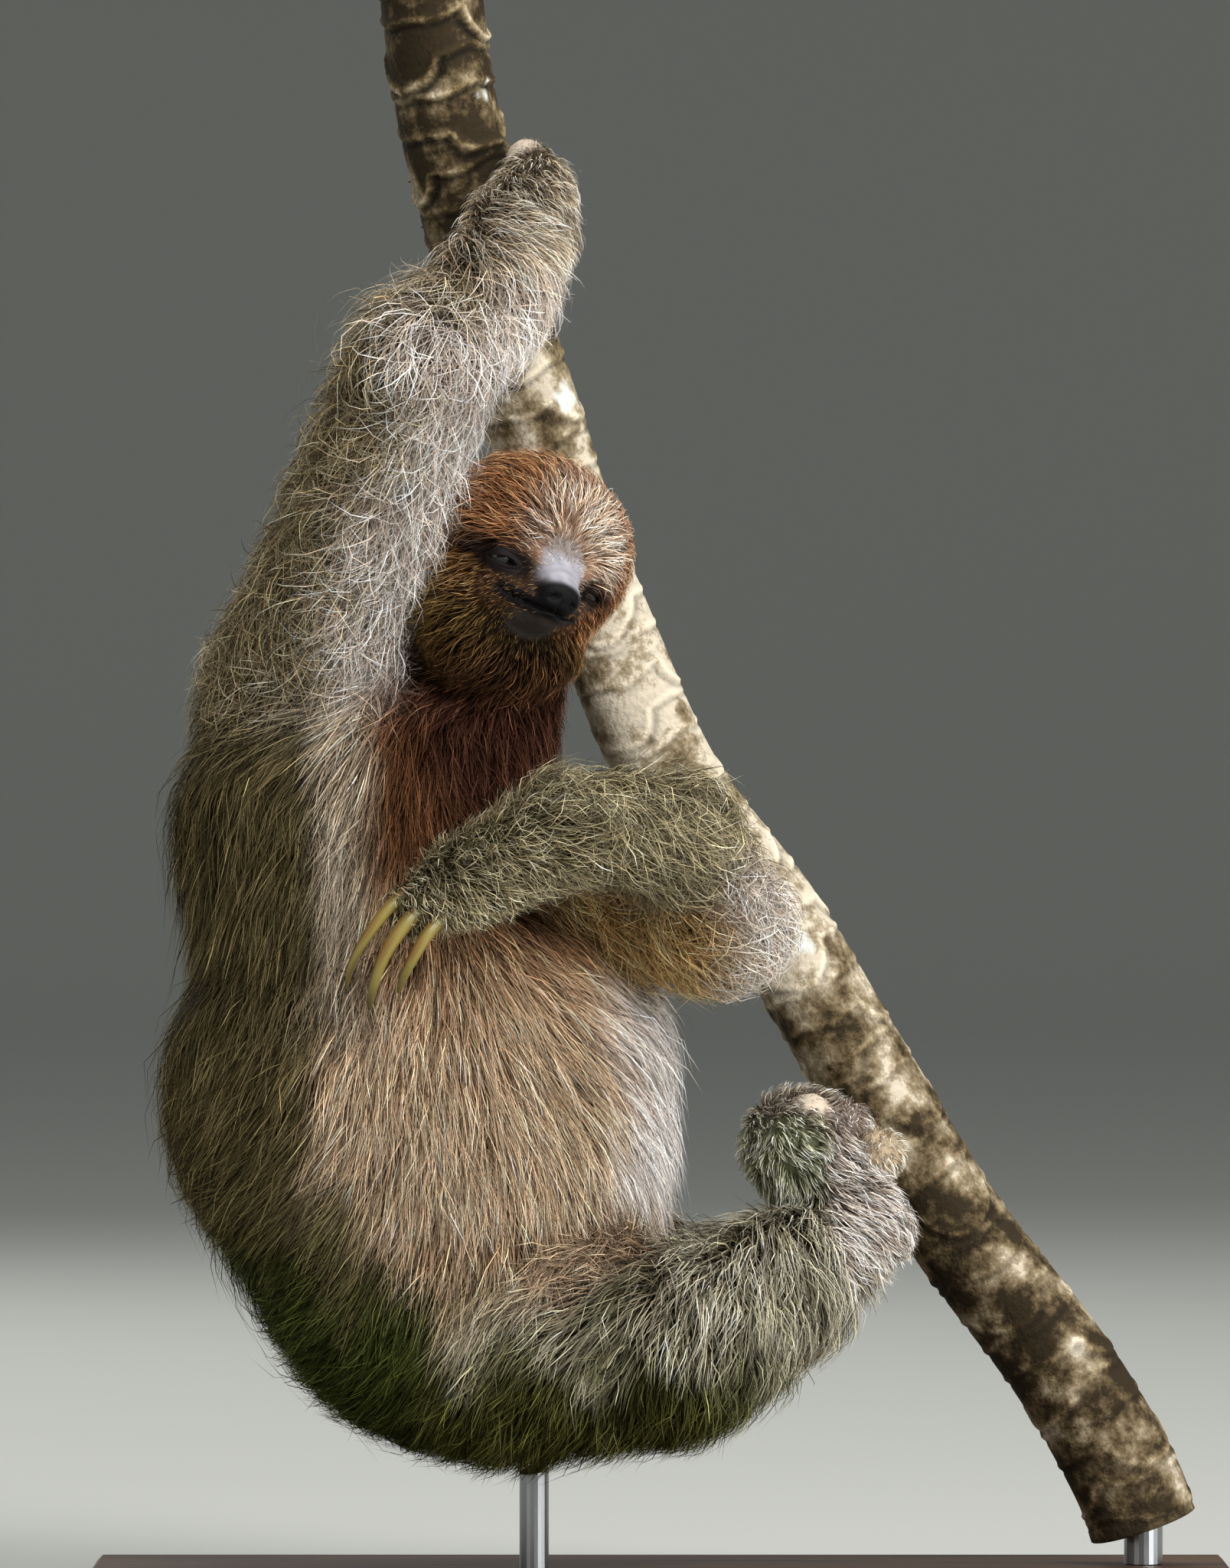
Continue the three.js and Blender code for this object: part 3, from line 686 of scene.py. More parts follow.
# %% Region colours
COAT = {  # root, middle, tip
    "arm": ("#251d14", "#756444", "#cdbb96"),
    # Near white: paler arm hair, brightened as painted light on the side that faces right.
    "arm_pale_lit_side": ("#6a5444", "#f2dac8", "#fff8f2"),
    "hand": ("#3a2f22", "#9e8a6e", "#f0e2cc"),
    "forearm": ("#211b0e", "#706344", "#d2c4a0"),
    "elbow": ("#4a3218", "#bc8c4c", "#ecca98"),
    "back": ("#080603", "#262011", "#786a48"),
    "band": ("#2d2318", "#8a735a", "#dccab0"),
    "belly": ("#36241a", "#9c7858", "#e8cdac"),
    "belly_top": ("#322015", "#a27450", "#e0b68e"),
    "chest": ("#100704", "#462819", "#885e3e"),
    "throat": ("#080302", "#2a1510", "#63402f"),
    "rump": ("#070802", "#1a200c", "#5e6630"),
    "seat": ("#090a04", "#26270f", "#6c6a38"),
    "leg": ("#28241a", "#82785c", "#e2dac2"),
    "groin": ("#2c1c12", "#835e43", "#c2a282"),
    "heel": ("#877264", "#d8c4b4", "#fff6ec"),
    "toe": ("#dcc4a2", "#f2dabc", "#fff4e2"),
    "foot": ("#474b30", "#bcbd94", "#fffdf0"),
    "forehead": ("#8a5a3e", "#f8d6b6", "#fff8ec"),
    "temple": ("#2a140c", "#834e2c", "#d8a578"),
    "jaw": ("#0b0604", "#3b2a15", "#a2824c"),
    "cheek": ("#1c110a", "#85582e", "#e8c08c"),
    # Near white: the pinkish-cream hair of the right flank, brightened as painted backlight.
    "pale_flank_and_backlight": ("#d6b8a8", "#fbe2d4", "#fff6ee"),
    "mask": ("#100b0a", "#261b17", "#503d2f"),
    # painted shadow: near-black colours for the shade under the left forearm
    "shadow_under_forearm": ("#050302", "#0e0805", "#281a10"),
    "fringe": ("#8d8783", "#cfc7c2", "#fffaf4"),
}
COAT = {name: np.array([linear(h) for h in hexes]) for name, hexes in COAT.items()}
TAN_EDGE = [(-170, 225), (-146, 180), (-124, 140), (-84, 102), (-45, 94), (0, 90)]  # x, z: green lies below


def coat_mix(p, normal):
    """Share of each colour region at each point."""
    weights = dict(zip(PART_NAMES, part_weights(p).T))
    x, z = p[:, 0], p[:, 2]
    q = to_head(p)
    side, up = q[:, 0], q[:, 2]
    patchy = ripple(p, 40, 3) + 0.5 * ripple(p, 14, 4)
    share = {name: np.zeros(len(p)) for name in COAT}

    def colour_part(part, regions):
        """Each region in turn takes its amount of what the ones before it left of the part."""
        left = np.ones(len(p))
        for name, amount in regions:
            share[name] = share[name] + part * left * amount
            left = left * (1 - amount)

    above_edge = z - np.interp(x, *np.array(TAN_EDGE).T)
    behind = smoothstep(0.05, 0.5, normal[:, 1])
    colour_part(weights["trunk"] + weights["tail"], [
        # A near-black patch under the left forearm is painted shadow.
        ("shadow_under_forearm", smoothstep(1.5, 0.6, np.hypot((x + 50) / 17, (z - 281) / 8))),
        ("rump", np.clip(smoothstep(38, -34, above_edge + 16 * patchy)
                         * smoothstep(190, 110, z + 12 * patchy), 0, 1)
         * (1 - 0.75 * smoothstep(-60, -20, x))),
        ("seat", smoothstep(38, -34, above_edge + 16 * patchy) * smoothstep(150, 100, z)),
        ("back", np.maximum(behind, smoothstep(-134, -148, x + 5 * patchy))),
        ("back", smoothstep(36, -30, above_edge + 16 * patchy) * 0.8),
        # The belly's right edge gets near-white colours: pinkish-cream hair plus painted backlight.
        ("pale_flank_and_backlight", smoothstep(-34, -6, x + 5 * patchy) * smoothstep(268, 250, z) * smoothstep(150, 175, z)),
        ("throat", smoothstep(-104, -86, x) * smoothstep(312, 352, z + 5 * patchy)),
        ("band", smoothstep(-112, -128, x + 4 * patchy) * smoothstep(216, 245, z)),
        ("chest", smoothstep(282, 310, z + 5 * patchy + 0.35 * (x + 120))),
        ("belly_top", smoothstep(222, 272, z + 9 * patchy) * smoothstep(-128, -100, x)),
        ("belly", 1.0),
    ])
    colour_part(weights["neck"], [
        ("cheek", smoothstep(372, 390, z + 4 * patchy) * 0.4),
        ("chest", smoothstep(-92, -112, x) * smoothstep(372, 350, z)),
        ("throat", 1.0),
    ])
    colour_part(weights["arm_right"], [
        ("hand", smoothstep(515, 545, z + 5 * patchy)),
        # The side of the raised arm that faces right is paler: partly paler hair, partly painted light from
        # that side.
        ("arm_pale_lit_side", smoothstep(-0.5, 0.35, normal[:, 0] + 0.25 * patchy)),
        ("arm", 1.0),
    ])
    place, _ = along_limb(p, LIMBS["arm_left"])
    colour_part(weights["arm_left"], [
        ("heel", smoothstep(14, 36, x + 3 * patchy) * smoothstep(312, 292, z + 3 * patchy) * 0.85),
        ("elbow", smoothstep(1.75, 1.3, place) * smoothstep(300, 290, z + 3 * patchy)),
        ("forearm", 1.0),
    ])
    velvet, radius = TOES[2]
    rim = np.maximum(smoothstep(66, 74, x + 2 * patchy), 0.35 * smoothstep(196, 204, z + 2 * patchy))
    sole = [("toe", smoothstep(5, 1, away_from(p, velvet) - radius)),
            ("heel", rim * smoothstep(120, 150, z + 3 * patchy))]
    for name in ("leg_right", "leg_left"):
        place, _ = along_limb(p, LIMBS[name])
        foot = smoothstep(len(LIMBS[name]) - 3.3, len(LIMBS[name]) - 2.7, place)
        colour_part(weights[name], (sole if name == "leg_right" else []) + [
            ("foot", foot * smoothstep(1.3, 0.8, np.hypot((x - 50) / 20, (z - 179) / 17))),
            ("seat", smoothstep(132, 72, z + 14 * patchy + 0.1 * x) * smoothstep(60, 0, x)),
            ("rump", smoothstep(126, 76, z + 16 * patchy + 0.1 * x) * 0.9),
            ("groin", smoothstep(12, -14, x) * smoothstep(112, 136, z + 6 * patchy) * 0.75),
            ("leg", 1.0),
        ])
    mask = np.exp(-((np.abs(side) - EYE_SIDE) / 10) ** 2 - ((up - EYE_UP + 0.5) / 5) ** 2) * (q[:, 1] < 2)
    # A dark stripe from the near eye out to the temple, on one side only: partly the dark eye stripe, partly
    # painted shade from the raised arm.
    eye_stripe_and_arm_shade = np.exp(-((side + 34) / 11) ** 2 - ((up + 6) / 6) ** 2)
    colour_part(weights["head"], [
        ("mask", np.clip(mask * 1.4 + eye_stripe_and_arm_shade * 0.8, 0, 1)),
        ("throat", smoothstep(-26, -40, up + 3 * patchy) * smoothstep(404, 376, z) * 0.8),
        ("jaw", smoothstep(-22, -34, up + 2 * patchy)),
        ("cheek", smoothstep(-4, -11, up + 2 * patchy + 0.12 * np.abs(side)) * smoothstep(26, 10, side)),
        ("fringe", smoothstep(13, 5, np.hypot(side, 1.3 * (up - 5))) * (q[:, 1] < -10) * 0.8),
        ("forehead", smoothstep(34, 12, np.hypot(side - 6, up - 10)) * (q[:, 1] < 0)),
        ("temple", 1.0),
    ])
    return share


def coat_colour(p, normal):
    """Root, middle and tip colour at each point, as an array of points by 3 stages by RGB."""
    share = coat_mix(p, normal)
    total = np.maximum(sum(share.values()), 1e-6)
    return sum(COAT[name][None] * (share[name] / total)[:, None, None] for name in share)


BARE = {"bridge": "#9b989f", "muzzle": "#4a4544", "lip": "#110e0f", "chin": "#3a3431", "nose": "#060506",
        "lid": "#17100f", "toe": "#cdbda8"}
BARE = {name: linear(hexed) for name, hexed in BARE.items()}


def bare_edge(q):
    """Above 0 where the muzzle is bare, in about millimetres from its edge."""
    side, up = q[:, 0], q[:, 2]
    wide = np.abs(side)
    bridge = np.minimum(np.minimum(2.8 - 0.06 * side ** 2 - up, 11.0 - wide), up + 20)
    lips = np.minimum(4.2 - 0.09 * wide - np.abs(up - mouth_height(side)), MOUTH_HALF + 1 - wide)
    chin = 7.0 - np.hypot(0.6 * side, 0.9 * (up + 25))
    return np.maximum(np.maximum(bridge, lips), chin)


def skin_colour(p, normal):
    stages = coat_colour(p, normal)
    # The skin is a darkened mix of the root and middle colours; the darkening is partly painted shade between
    # the hairs.
    colour = stages[:, 0] * 0.5 + stages[:, 1] * 0.14
    q = to_head(p)
    side, front, up = q[:, 0], -q[:, 1], q[:, 2]
    facing = smoothstep(12, 18, front)
    eye = np.hypot(np.abs(side) - EYE_SIDE, 1.7 * (up - EYE_UP))
    line = up - mouth_height(side)
    layers = [
        ("muzzle", smoothstep(-1.5, 2.5, bare_edge(q)) * facing),
        ("bridge", smoothstep(12, 8, np.abs(side)) * smoothstep(6, 2, up) * smoothstep(-10, -5, up)
         * facing),
        ("chin", smoothstep(-20, -23, up) * smoothstep(-1.5, 2.5, bare_edge(q)) * facing),
        ("lip", smoothstep(5, 2.5, np.abs(line)) * smoothstep(MOUTH_HALF + 3, MOUTH_HALF, np.abs(side))
         * facing),
        ("lid", smoothstep(12, 8, eye) * facing),
        ("nose", smoothstep(1.35, 0.95, np.hypot((side + 0.4) / 8.6, (up + 12.6) / 5.6))
         * smoothstep(28, 32, front)),
        ("nose", np.exp(-(line / 1.2) ** 2) * (np.abs(side) < MOUTH_HALF + 1) * facing),
    ]
    for name, amount in layers:
        colour = colour * (1 - amount[:, None]) + BARE[name] * amount[:, None]
    for centre, radius in BARE_TOES:
        amount = smoothstep(radius + 3, radius, away_from(p, centre))[:, None]
        colour = colour * (1 - amount) + BARE["toe"] * amount
    return colour * (1 + 0.14 * ripple(p, 5, 5))[:, None]


def bare_share(p):
    """How bare the skin is at each point, where no hair grows."""
    q = to_head(p)
    side, front, up = q[:, 0], -q[:, 1], q[:, 2]
    eye = np.hypot(np.abs(side) - EYE_SIDE, 1.6 * (up - EYE_UP)) + 3.0 * (side > 0)
    face = smoothstep(12, 18, front) * np.maximum(smoothstep(-0.5, 3, bare_edge(q)), smoothstep(9.6, 7, eye))
    for centre, radius in BARE_TOES:
        face = np.maximum(face, smoothstep(1.5, -1, away_from(p, centre) - radius))
    return np.clip(face, 0, 1)


# %% Paint the skin
def vertex_array(mesh, attribute="co"):
    flat = np.zeros(len(mesh.vertices) * 3)
    mesh.vertices.foreach_get(attribute, flat)
    return flat.reshape(-1, 3)


def paint(mesh, colours):
    layer = mesh.color_attributes.new("tone", "FLOAT_COLOR", "POINT")
    layer.data.foreach_set("color", np.column_stack([np.clip(colours, 0, 1), np.ones(len(colours))]).ravel())


skin_co, skin_normal = vertex_array(skin_mesh), vertex_array(skin_mesh, "normal")
paint(skin_mesh, skin_colour(skin_co, skin_normal))
hide, hide_surface = new_material("bare_hide", 0.55, Specular_IOR_Level=0.12)
link(hide, tone_of(hide), hide_surface.inputs["Base Color"])
roughen(hide, hide_surface, 1.1, 4.0, 0.4, 0.4)
skin_mesh.materials.append(hide)
print("painted skin")

# %% [markdown]
# ## Growing the hair
# Roots are scattered over the skin by area. From each root a hair takes a few steps. At every step it keeps
# to the lie of the coat and rises towards its own height in the coat, because the grid tells how high it
# stands above the skin. Hairs then lean towards a leader to make locks, and each becomes
# a ribbon that tapers to a point.

# %% Triangles of the skin for scattering
skin_mesh.calc_loop_triangles()
triangle_count = len(skin_mesh.loop_triangles)
triangle_verts = np.zeros(triangle_count * 3, int)
triangle_loops = np.zeros(triangle_count * 3, int)
skin_mesh.loop_triangles.foreach_get("vertices", triangle_verts)
skin_mesh.loop_triangles.foreach_get("loops", triangle_loops)
triangle_verts, triangle_loops = triangle_verts.reshape(-1, 3), triangle_loops.reshape(-1, 3)
loop_uv = np.zeros(len(skin_mesh.loops) * 2)
skin_mesh.uv_layers["OFBake"].data.foreach_get("uv", loop_uv)
loop_uv = loop_uv.reshape(-1, 2)
a, b, c = (skin_co[triangle_verts[:, i]] for i in range(3))
triangle_area = np.linalg.norm(np.cross(b - a, c - a), axis=1) / 2
triangle_middle = (a + b + c) / 3
triangle_normal = unit(np.cross(b - a, c - a))
triangle_part = part_distances(triangle_middle).argmin(axis=1)
print("skin area:", round(triangle_area.sum() / 100), "square cm")


# %% Grid lookup
def look_up(table, p):
    place = (p - GRID_LOW) / GRID_STEP
    base = np.clip(np.floor(place).astype(int), 0, np.array(grid_shape) - 2)
    f = np.clip(place - base, 0, 1)
    total = 0
    for i in (0, 1):
        for j in (0, 1):
            for k in (0, 1):
                weight = (f[:, 0] if i else 1 - f[:, 0]) * (f[:, 1] if j else 1 - f[:, 1])
                weight = weight * (f[:, 2] if k else 1 - f[:, 2])
                value = table[base[:, 0] + i, base[:, 1] + j, base[:, 2] + k]
                total = total + value * (weight[:, None] if value.ndim == 2 else weight)
    return total


# %% Hair styles by part
# length, width and wave in millimetres; jitter and curl in radians; clump is how far a hair leans to its lock
STYLE = {
    "trunk": dict(length=44, width=0.45, wave=1.3, curl=0.25, jitter=0.16, clump=0.32),
    "neck": dict(length=34, width=0.40, wave=1.8, curl=0.4, jitter=0.28, clump=0.25),
    "head": dict(length=38, width=0.33, wave=1.7, curl=0.3, jitter=0.27, clump=0.16),
    "tail": dict(length=30, width=0.55, wave=1.2, curl=0.3, jitter=0.25, clump=0.4),
    "arm_right": dict(length=42, width=0.38, wave=2.6, curl=1.2, jitter=0.62, clump=0.22),
    "arm_left": dict(length=38, width=0.40, wave=2.4, curl=0.9, jitter=0.36, clump=0.25),
    "leg_right": dict(length=38, width=0.54, wave=1.8, curl=0.4, jitter=0.25, clump=0.58),
    "leg_left": dict(length=34, width=0.60, wave=1.8, curl=0.4, jitter=0.25, clump=0.4),
}


def style_of(p, key):
    weights = part_weights(p)
    return sum(weights[:, i] * STYLE[name][key] for i, name in enumerate(PART_NAMES))


SHORT_ENDS = {  # where along the limb's joints the hair shortens, and to what share
    "leg_right": (2.6, 0.5), "leg_left": (2.0, 0.5), "arm_right": (3.4, 0.6), "arm_left": (3.2, 0.62),
}
HAND_ABOVE = 536  # the raised hand lies above this height, and its hair lies neat
LOWEST, HIGHEST = 0.25, 1.2  # shares of the coat's depth that the lowest and the highest hairs reach
STRAY_SHARE, PALE_SHARE, PALE_GAIN = 0.045, 0.13, 1.6


def hair_length(p, normal, depth):
    length = style_of(p, "length")
    weights = part_weights(p)
    for name, (place_at, share) in SHORT_ENDS.items():
        place, _ = along_limb(p, LIMBS[name])
        end = smoothstep(place_at - 0.4, place_at + 0.4, place) * weights[:, PART_NAMES.index(name)]
        length = length * (1 - (1 - share) * end)
    back = smoothstep(0.1, 0.7, backward_facing(normal))
    length = length * (1 + 0.3 * back * weights[:, PART_NAMES.index("trunk")])
    edge = -bare_edge(to_head(p)) * (to_head(p)[:, 1] < -12)
    short = np.where(to_head(p)[:, 1] < -12, smoothstep(-2, 16, edge) * 0.85 + 0.15, 1.0)
    head = weights[:, PART_NAMES.index("head")]
    length = length * (1 - head + head * short)
    return np.clip(length * smoothstep(-3, 17, depth), 2.6, np.maximum(depth * 5, 4))


# %% Grow one batch of hairs
def grow(p, normal, steps, seed):
    luck = np.random.default_rng(seed)
    count = len(p)
    depth = np.maximum(-tip_field(p), 1.2)
    length = hair_length(p, normal, depth) * luck.uniform(0.65, 1.2, count)
    layer = luck.uniform(0, 1, count)
    height = depth * (LOWEST + (HIGHEST - LOWEST) * layer)
    stray = luck.uniform(0, 1, count) < STRAY_SHARE
    height = np.where(stray, depth * luck.uniform(1.0, 1.6, count), height)
    flow = lie(p, normal)
    neat = 1 - 0.7 * smoothstep(HAND_ABOVE - 14, HAND_ABOVE + 16, p[:, 2])
    turn = luck.normal(0, 1, count) * style_of(p, "jitter") * np.where(stray, 2.2, 1.0) * neat
    turn = turn + 0.22 * ripple(p, 16, 8)
    across = np.cross(normal, flow)
    flow = unit(flow * np.cos(turn)[:, None] + across * np.sin(turn)[:, None])
    curl = luck.normal(0, 1, count) * style_of(p, "curl") * neat
    path = [p - normal * 0.4]
    at = p.copy()
    step = (length / steps)[:, None]
    for k in range(1, steps + 1):
        share = k / steps
        slope = unit(look_up(grid_slope, at))
        stands = look_up(grid_values, at)
        wanted = height * (1 - math.exp(-2.2 * share)) / (1 - math.exp(-2.2))
        rise = np.clip((wanted - stands) / step[:, 0], -0.5, 0.85)[:, None]
        bend = (curl * share)[:, None]
        level = flow * np.cos(bend) + np.cross(slope, flow) * np.sin(bend) + DOWN * 0.15 * share
        level = unit(level - (level * slope).sum(axis=1, keepdims=True) * slope)
        at = at + step * (level * np.sqrt(1 - rise ** 2) + slope * rise)
        path.append(at.copy())
    path = np.stack(path, axis=1)
    along = unit(path[:, 1:] - path[:, :-1])
    along = np.concatenate([along[:, :1], along], axis=1)
    across = unit(np.cross(along, normal[:, None]))
    outward = np.cross(across, along)
    shares = np.linspace(0, 1, steps + 1)
    wave = style_of(p, "wave") * luck.uniform(0.3, 1.4, count) * np.clip(length / 30, 0.1, 1.2) * neat
    for direction, phase in ((across, luck.uniform(0, 6.28, count)), (outward, luck.uniform(0, 6.28, count))):
        cycles = luck.uniform(0.4, 1.1, count)
        swing = np.sin(2 * math.pi * cycles[:, None] * shares + phase[:, None]) - np.sin(phase)[:, None]
        path = path + direction * (swing * shares ** 0.7 * wave[:, None])[:, :, None] * 0.7
    return path, length, layer


def gather_locks(path, p, seed, spacing, strength):
    """Leans each hair towards the nearest of a few leaders, more at the tip."""
    luck = np.random.default_rng(seed)
    leaders = luck.choice(len(p), max(len(p) // spacing, 1), replace=False)
    tree = kdtree.KDTree(len(leaders))
    for i, leader in enumerate(leaders):
        tree.insert(p[leader], i)
    tree.balance()
    mine = leaders[np.array([tree.find(point)[1] for point in p])]
    hold = style_of(p, "clump") * strength * luck.uniform(0.3, 1.3, len(p))
    shares = np.linspace(0, 1, path.shape[1])
    lean = (hold[:, None] * shares ** 1.3)[:, :, None]
    return path + (path[mine] - path) * np.clip(lean, 0, 0.9)


# %% Ribbons from paths
PATCH = 0.003  # how wide a hair's patch is on the unwrap


def ribbons(name, path, normal, width, colours, root_uv, seed):
    luck = np.random.default_rng(seed)
    count, points = path.shape[:2]
    along = unit(np.gradient(path, axis=1))
    across = unit(np.cross(along, normal[:, None]))
    outward = np.cross(across, along)
    roll = luck.normal(0, 0.6, count)
    face = across * np.cos(roll)[:, None, None] + outward * np.sin(roll)[:, None, None]
    shares = np.linspace(0, 1, points)
    taper = np.clip((1 - shares ** 1.7), 0, 1) * (0.75 + 0.5 * np.sin(math.pi * shares))
    half = (width[:, None] * taper / 2)[:, :, None] * face
    left, right = (path - half)[:, :-1], (path + half)[:, :-1]
    verts = np.concatenate([np.stack([left, right], axis=2).reshape(count, -1, 3), path[:, -1:]], axis=1)
    per = verts.shape[1]
    pattern = []
    for k in range(points - 2):
        low, high = 2 * k, 2 * k + 2
        pattern += [(low, low + 1, high + 1), (low, high + 1, high)]
    pattern.append((per - 3, per - 2, per - 1))
    pattern = np.array(pattern)
    faces = (np.arange(count)[:, None, None] * per + pattern[None]).reshape(-1, 3)
    stage = np.append(np.repeat(shares[:-1], 2), 1.0)
    sway = np.append(np.tile([-1.0, 1.0], points - 1), 0.0)
    first = np.clip(stage * 2, 0, 1)[None, :, None]
    second = np.clip(stage * 2 - 1, 0, 1)[None, :, None]
    tone = colours[:, None, 0] * (1 - first) + colours[:, None, 1] * first
    tone = tone * (1 - second) + colours[:, None, 2] * second
    mesh = bpy.data.meshes.new(name)
    mesh.vertices.add(count * per)
    mesh.vertices.foreach_set("co", (verts.reshape(-1, 3) * MM).ravel())
    mesh.loops.add(len(faces) * 3)
    mesh.loops.foreach_set("vertex_index", faces.ravel())
    mesh.polygons.add(len(faces))
    mesh.polygons.foreach_set("loop_start", np.arange(len(faces)) * 3)
    mesh.update(calc_edges=True)
    paint(mesh, tone.reshape(-1, 3))
    strand = np.stack([np.tile(sway, (count, 1)), np.tile(stage, (count, 1)),
                       np.repeat(luck.uniform(0, 1, (count, 1)), per, axis=1)], axis=2)
    mesh.attributes.new("strand", "FLOAT_VECTOR", "POINT").data.foreach_set("vector", strand.ravel())
    patch = np.stack([sway * PATCH / 2, (stage - 0.5) * PATCH], axis=1)
    uv = (root_uv[:, None] + patch[None]).reshape(-1, 2)[faces.ravel()]
    mesh.uv_layers.new(name="OFBake").data.foreach_set("uv", np.clip(uv, 0.001, 0.999).ravel())
    return show(name, mesh), len(faces)


skin_mesh.transform(Matrix.Scale(MM, 4))
coat_hair, coat_surface = new_material("coarse_sloth_hair", 0.5, Specular_IOR_Level=0.02)
tone = tone_of(coat_hair)
strand = add(coat_hair, "ShaderNodeAttribute", {"attribute_name": "strand"})
spread = add(coat_hair, "ShaderNodeVectorMath", {"operation": "MULTIPLY"}, _0=strand.outputs["Vector"],
             _1=(1.2, 0.8, 400.0))
fibres = add(coat_hair, "ShaderNodeTexNoise", Vector=spread.outputs["Vector"], Scale=1.0, Detail=1.0)
contrast = add(coat_hair, "ShaderNodeMapRange", Value=fibres.outputs["Fac"])
for socket, value in (("From Min", 0.34), ("From Max", 0.66), ("To Min", 0.15), ("To Max", 1.6)):
    contrast.inputs[socket].default_value = value
streaked = add(coat_hair, "ShaderNodeVectorMath", {"operation": "SCALE"}, _0=tone,
               Scale=contrast.outputs["Result"])
link(coat_hair, streaked.outputs["Vector"], coat_surface.inputs["Base Color"])


# %% Plant each piece of the coat
def plant(name, chosen, hairs, seed, steps=3, spacing=9):
    luck = np.random.default_rng(seed)
    area = triangle_area * chosen
    picks = luck.choice(triangle_count, hairs, p=area / area.sum())
    r, s = np.sqrt(luck.uniform(0, 1, hairs)), luck.uniform(0, 1, hairs)
    corner = np.stack([1 - r, r * (1 - s), r * s], axis=1)
    root = (skin_co[triangle_verts[picks]] * corner[:, :, None]).sum(axis=1)
    normal = unit((skin_normal[triangle_verts[picks]] * corner[:, :, None]).sum(axis=1))
    uv = (loop_uv[triangle_loops[picks]] * corner[:, :, None]).sum(axis=1)
    keep = luck.uniform(0, 1, hairs) > bare_share(root)
    root, normal, uv = root[keep], normal[keep], uv[keep]
    path, length, layer = grow(root, normal, steps, seed + 1)
    path = gather_locks(path, root, seed + 2, spacing * 9, 0.6)
    path = gather_locks(path, root, seed + 3, spacing, 1.0)
    colours = coat_colour(path[:, 0] * 0.4 + path[:, -1] * 0.6, normal)
    # Hairs lower in the coat are darker, which is painted shade in the depth of the coat; the rest is random
    # tone.
    shade = np.exp(luck.normal(0, 0.55, len(root))) * (0.22 + 1.0 * layer)
    shade = shade * (1 + 0.3 * ripple(root, 9, 6))
    pale = luck.uniform(0, 1, len(root)) < PALE_SHARE
    colours = colours * np.where(pale, shade * PALE_GAIN, shade)[:, None, None]
    width = style_of(root, "width") * luck.uniform(0.6, 1.3, len(root)) * smoothstep(-6, 14, length)
    piece, triangles = ribbons(name, path, normal, width, colours, uv, seed + 4)
    piece.data.materials.append(coat_hair)
    print(name, len(root), "hairs,", triangles, "triangles")
    return piece


is_part = {name: triangle_part == i for i, name in enumerate(PART_NAMES)}
backward = backward_facing(triangle_normal) > 0.3
low_trunk = triangle_middle[:, 2] < 165
high_trunk = triangle_middle[:, 2] > 285
upper_arm = triangle_middle[:, 2] < 470
trunk = is_part["trunk"]
FULL = 38500  # hairs in a full piece, at five triangles each
coats = [
    plant("coat_belly", trunk & ~backward & ~low_trunk & ~high_trunk, FULL, 100),
    plant("coat_chest", trunk & ~backward & high_trunk, 17000, 110),
    plant("coat_back", trunk & backward & ~low_trunk, 29000, 120),
    plant("coat_rump", (trunk & low_trunk) | is_part["tail"], 36000, 130),
    plant("coat_upper_arm_right", is_part["arm_right"] & upper_arm, 20000, 140, steps=5),
    plant("coat_forearm_right", is_part["arm_right"] & ~upper_arm, 20000, 150, steps=5),
    plant("coat_arm_left", is_part["arm_left"], 36000, 160),
    plant("coat_leg_right", is_part["leg_right"], 34000, 170),
    plant("coat_leg_left", is_part["leg_left"], 10000, 180),
    plant("coat_head", is_part["head"] | is_part["neck"], FULL, 190),
]

# %% [markdown]
# ## Curves and sweeps
# The branch and the twelve claws are all tubes swept along a curve, thick at one end. One function makes the
# curve pass through a few points, and one lays rings of points round it.


# %% Curves through points, and tubes along them
def smooth_curve(points, count):
    """Evenly spaced points on a centripetal Catmull-Rom curve, and its directions there."""
    points = np.array(points, float)
    points = np.vstack([2 * points[0] - points[1], points, 2 * points[-1] - points[-2]])
    dense = []
    for p0, p1, p2, p3 in zip(points, points[1:], points[2:], points[3:]):
        d0, d1, d2 = (np.linalg.norm(b - a) ** 0.5 for a, b in ((p0, p1), (p1, p2), (p2, p3)))
        t1 = ((p1 - p0) / d0 - (p2 - p0) / (d0 + d1) + (p2 - p1) / d1) * d1
        t2 = ((p2 - p1) / d1 - (p3 - p1) / (d1 + d2) + (p3 - p2) / d2) * d1
        square, cube = 3 * (p2 - p1) - 2 * t1 - t2, 2 * (p1 - p2) + t1 + t2
        t = np.linspace(0, 1, 60, endpoint=False)[:, None]
        dense.append(p1 + t1 * t + square * t ** 2 + cube * t ** 3)
    dense = np.vstack(dense + [points[-2:-1]])
    length = np.append(0, np.cumsum(np.linalg.norm(np.diff(dense, axis=0), axis=1)))
    even = np.linspace(0, length[-1], count)
    at = np.stack([np.interp(even, length, dense[:, i]) for i in range(3)], axis=1)
    return at, unit(np.gradient(at, axis=0))


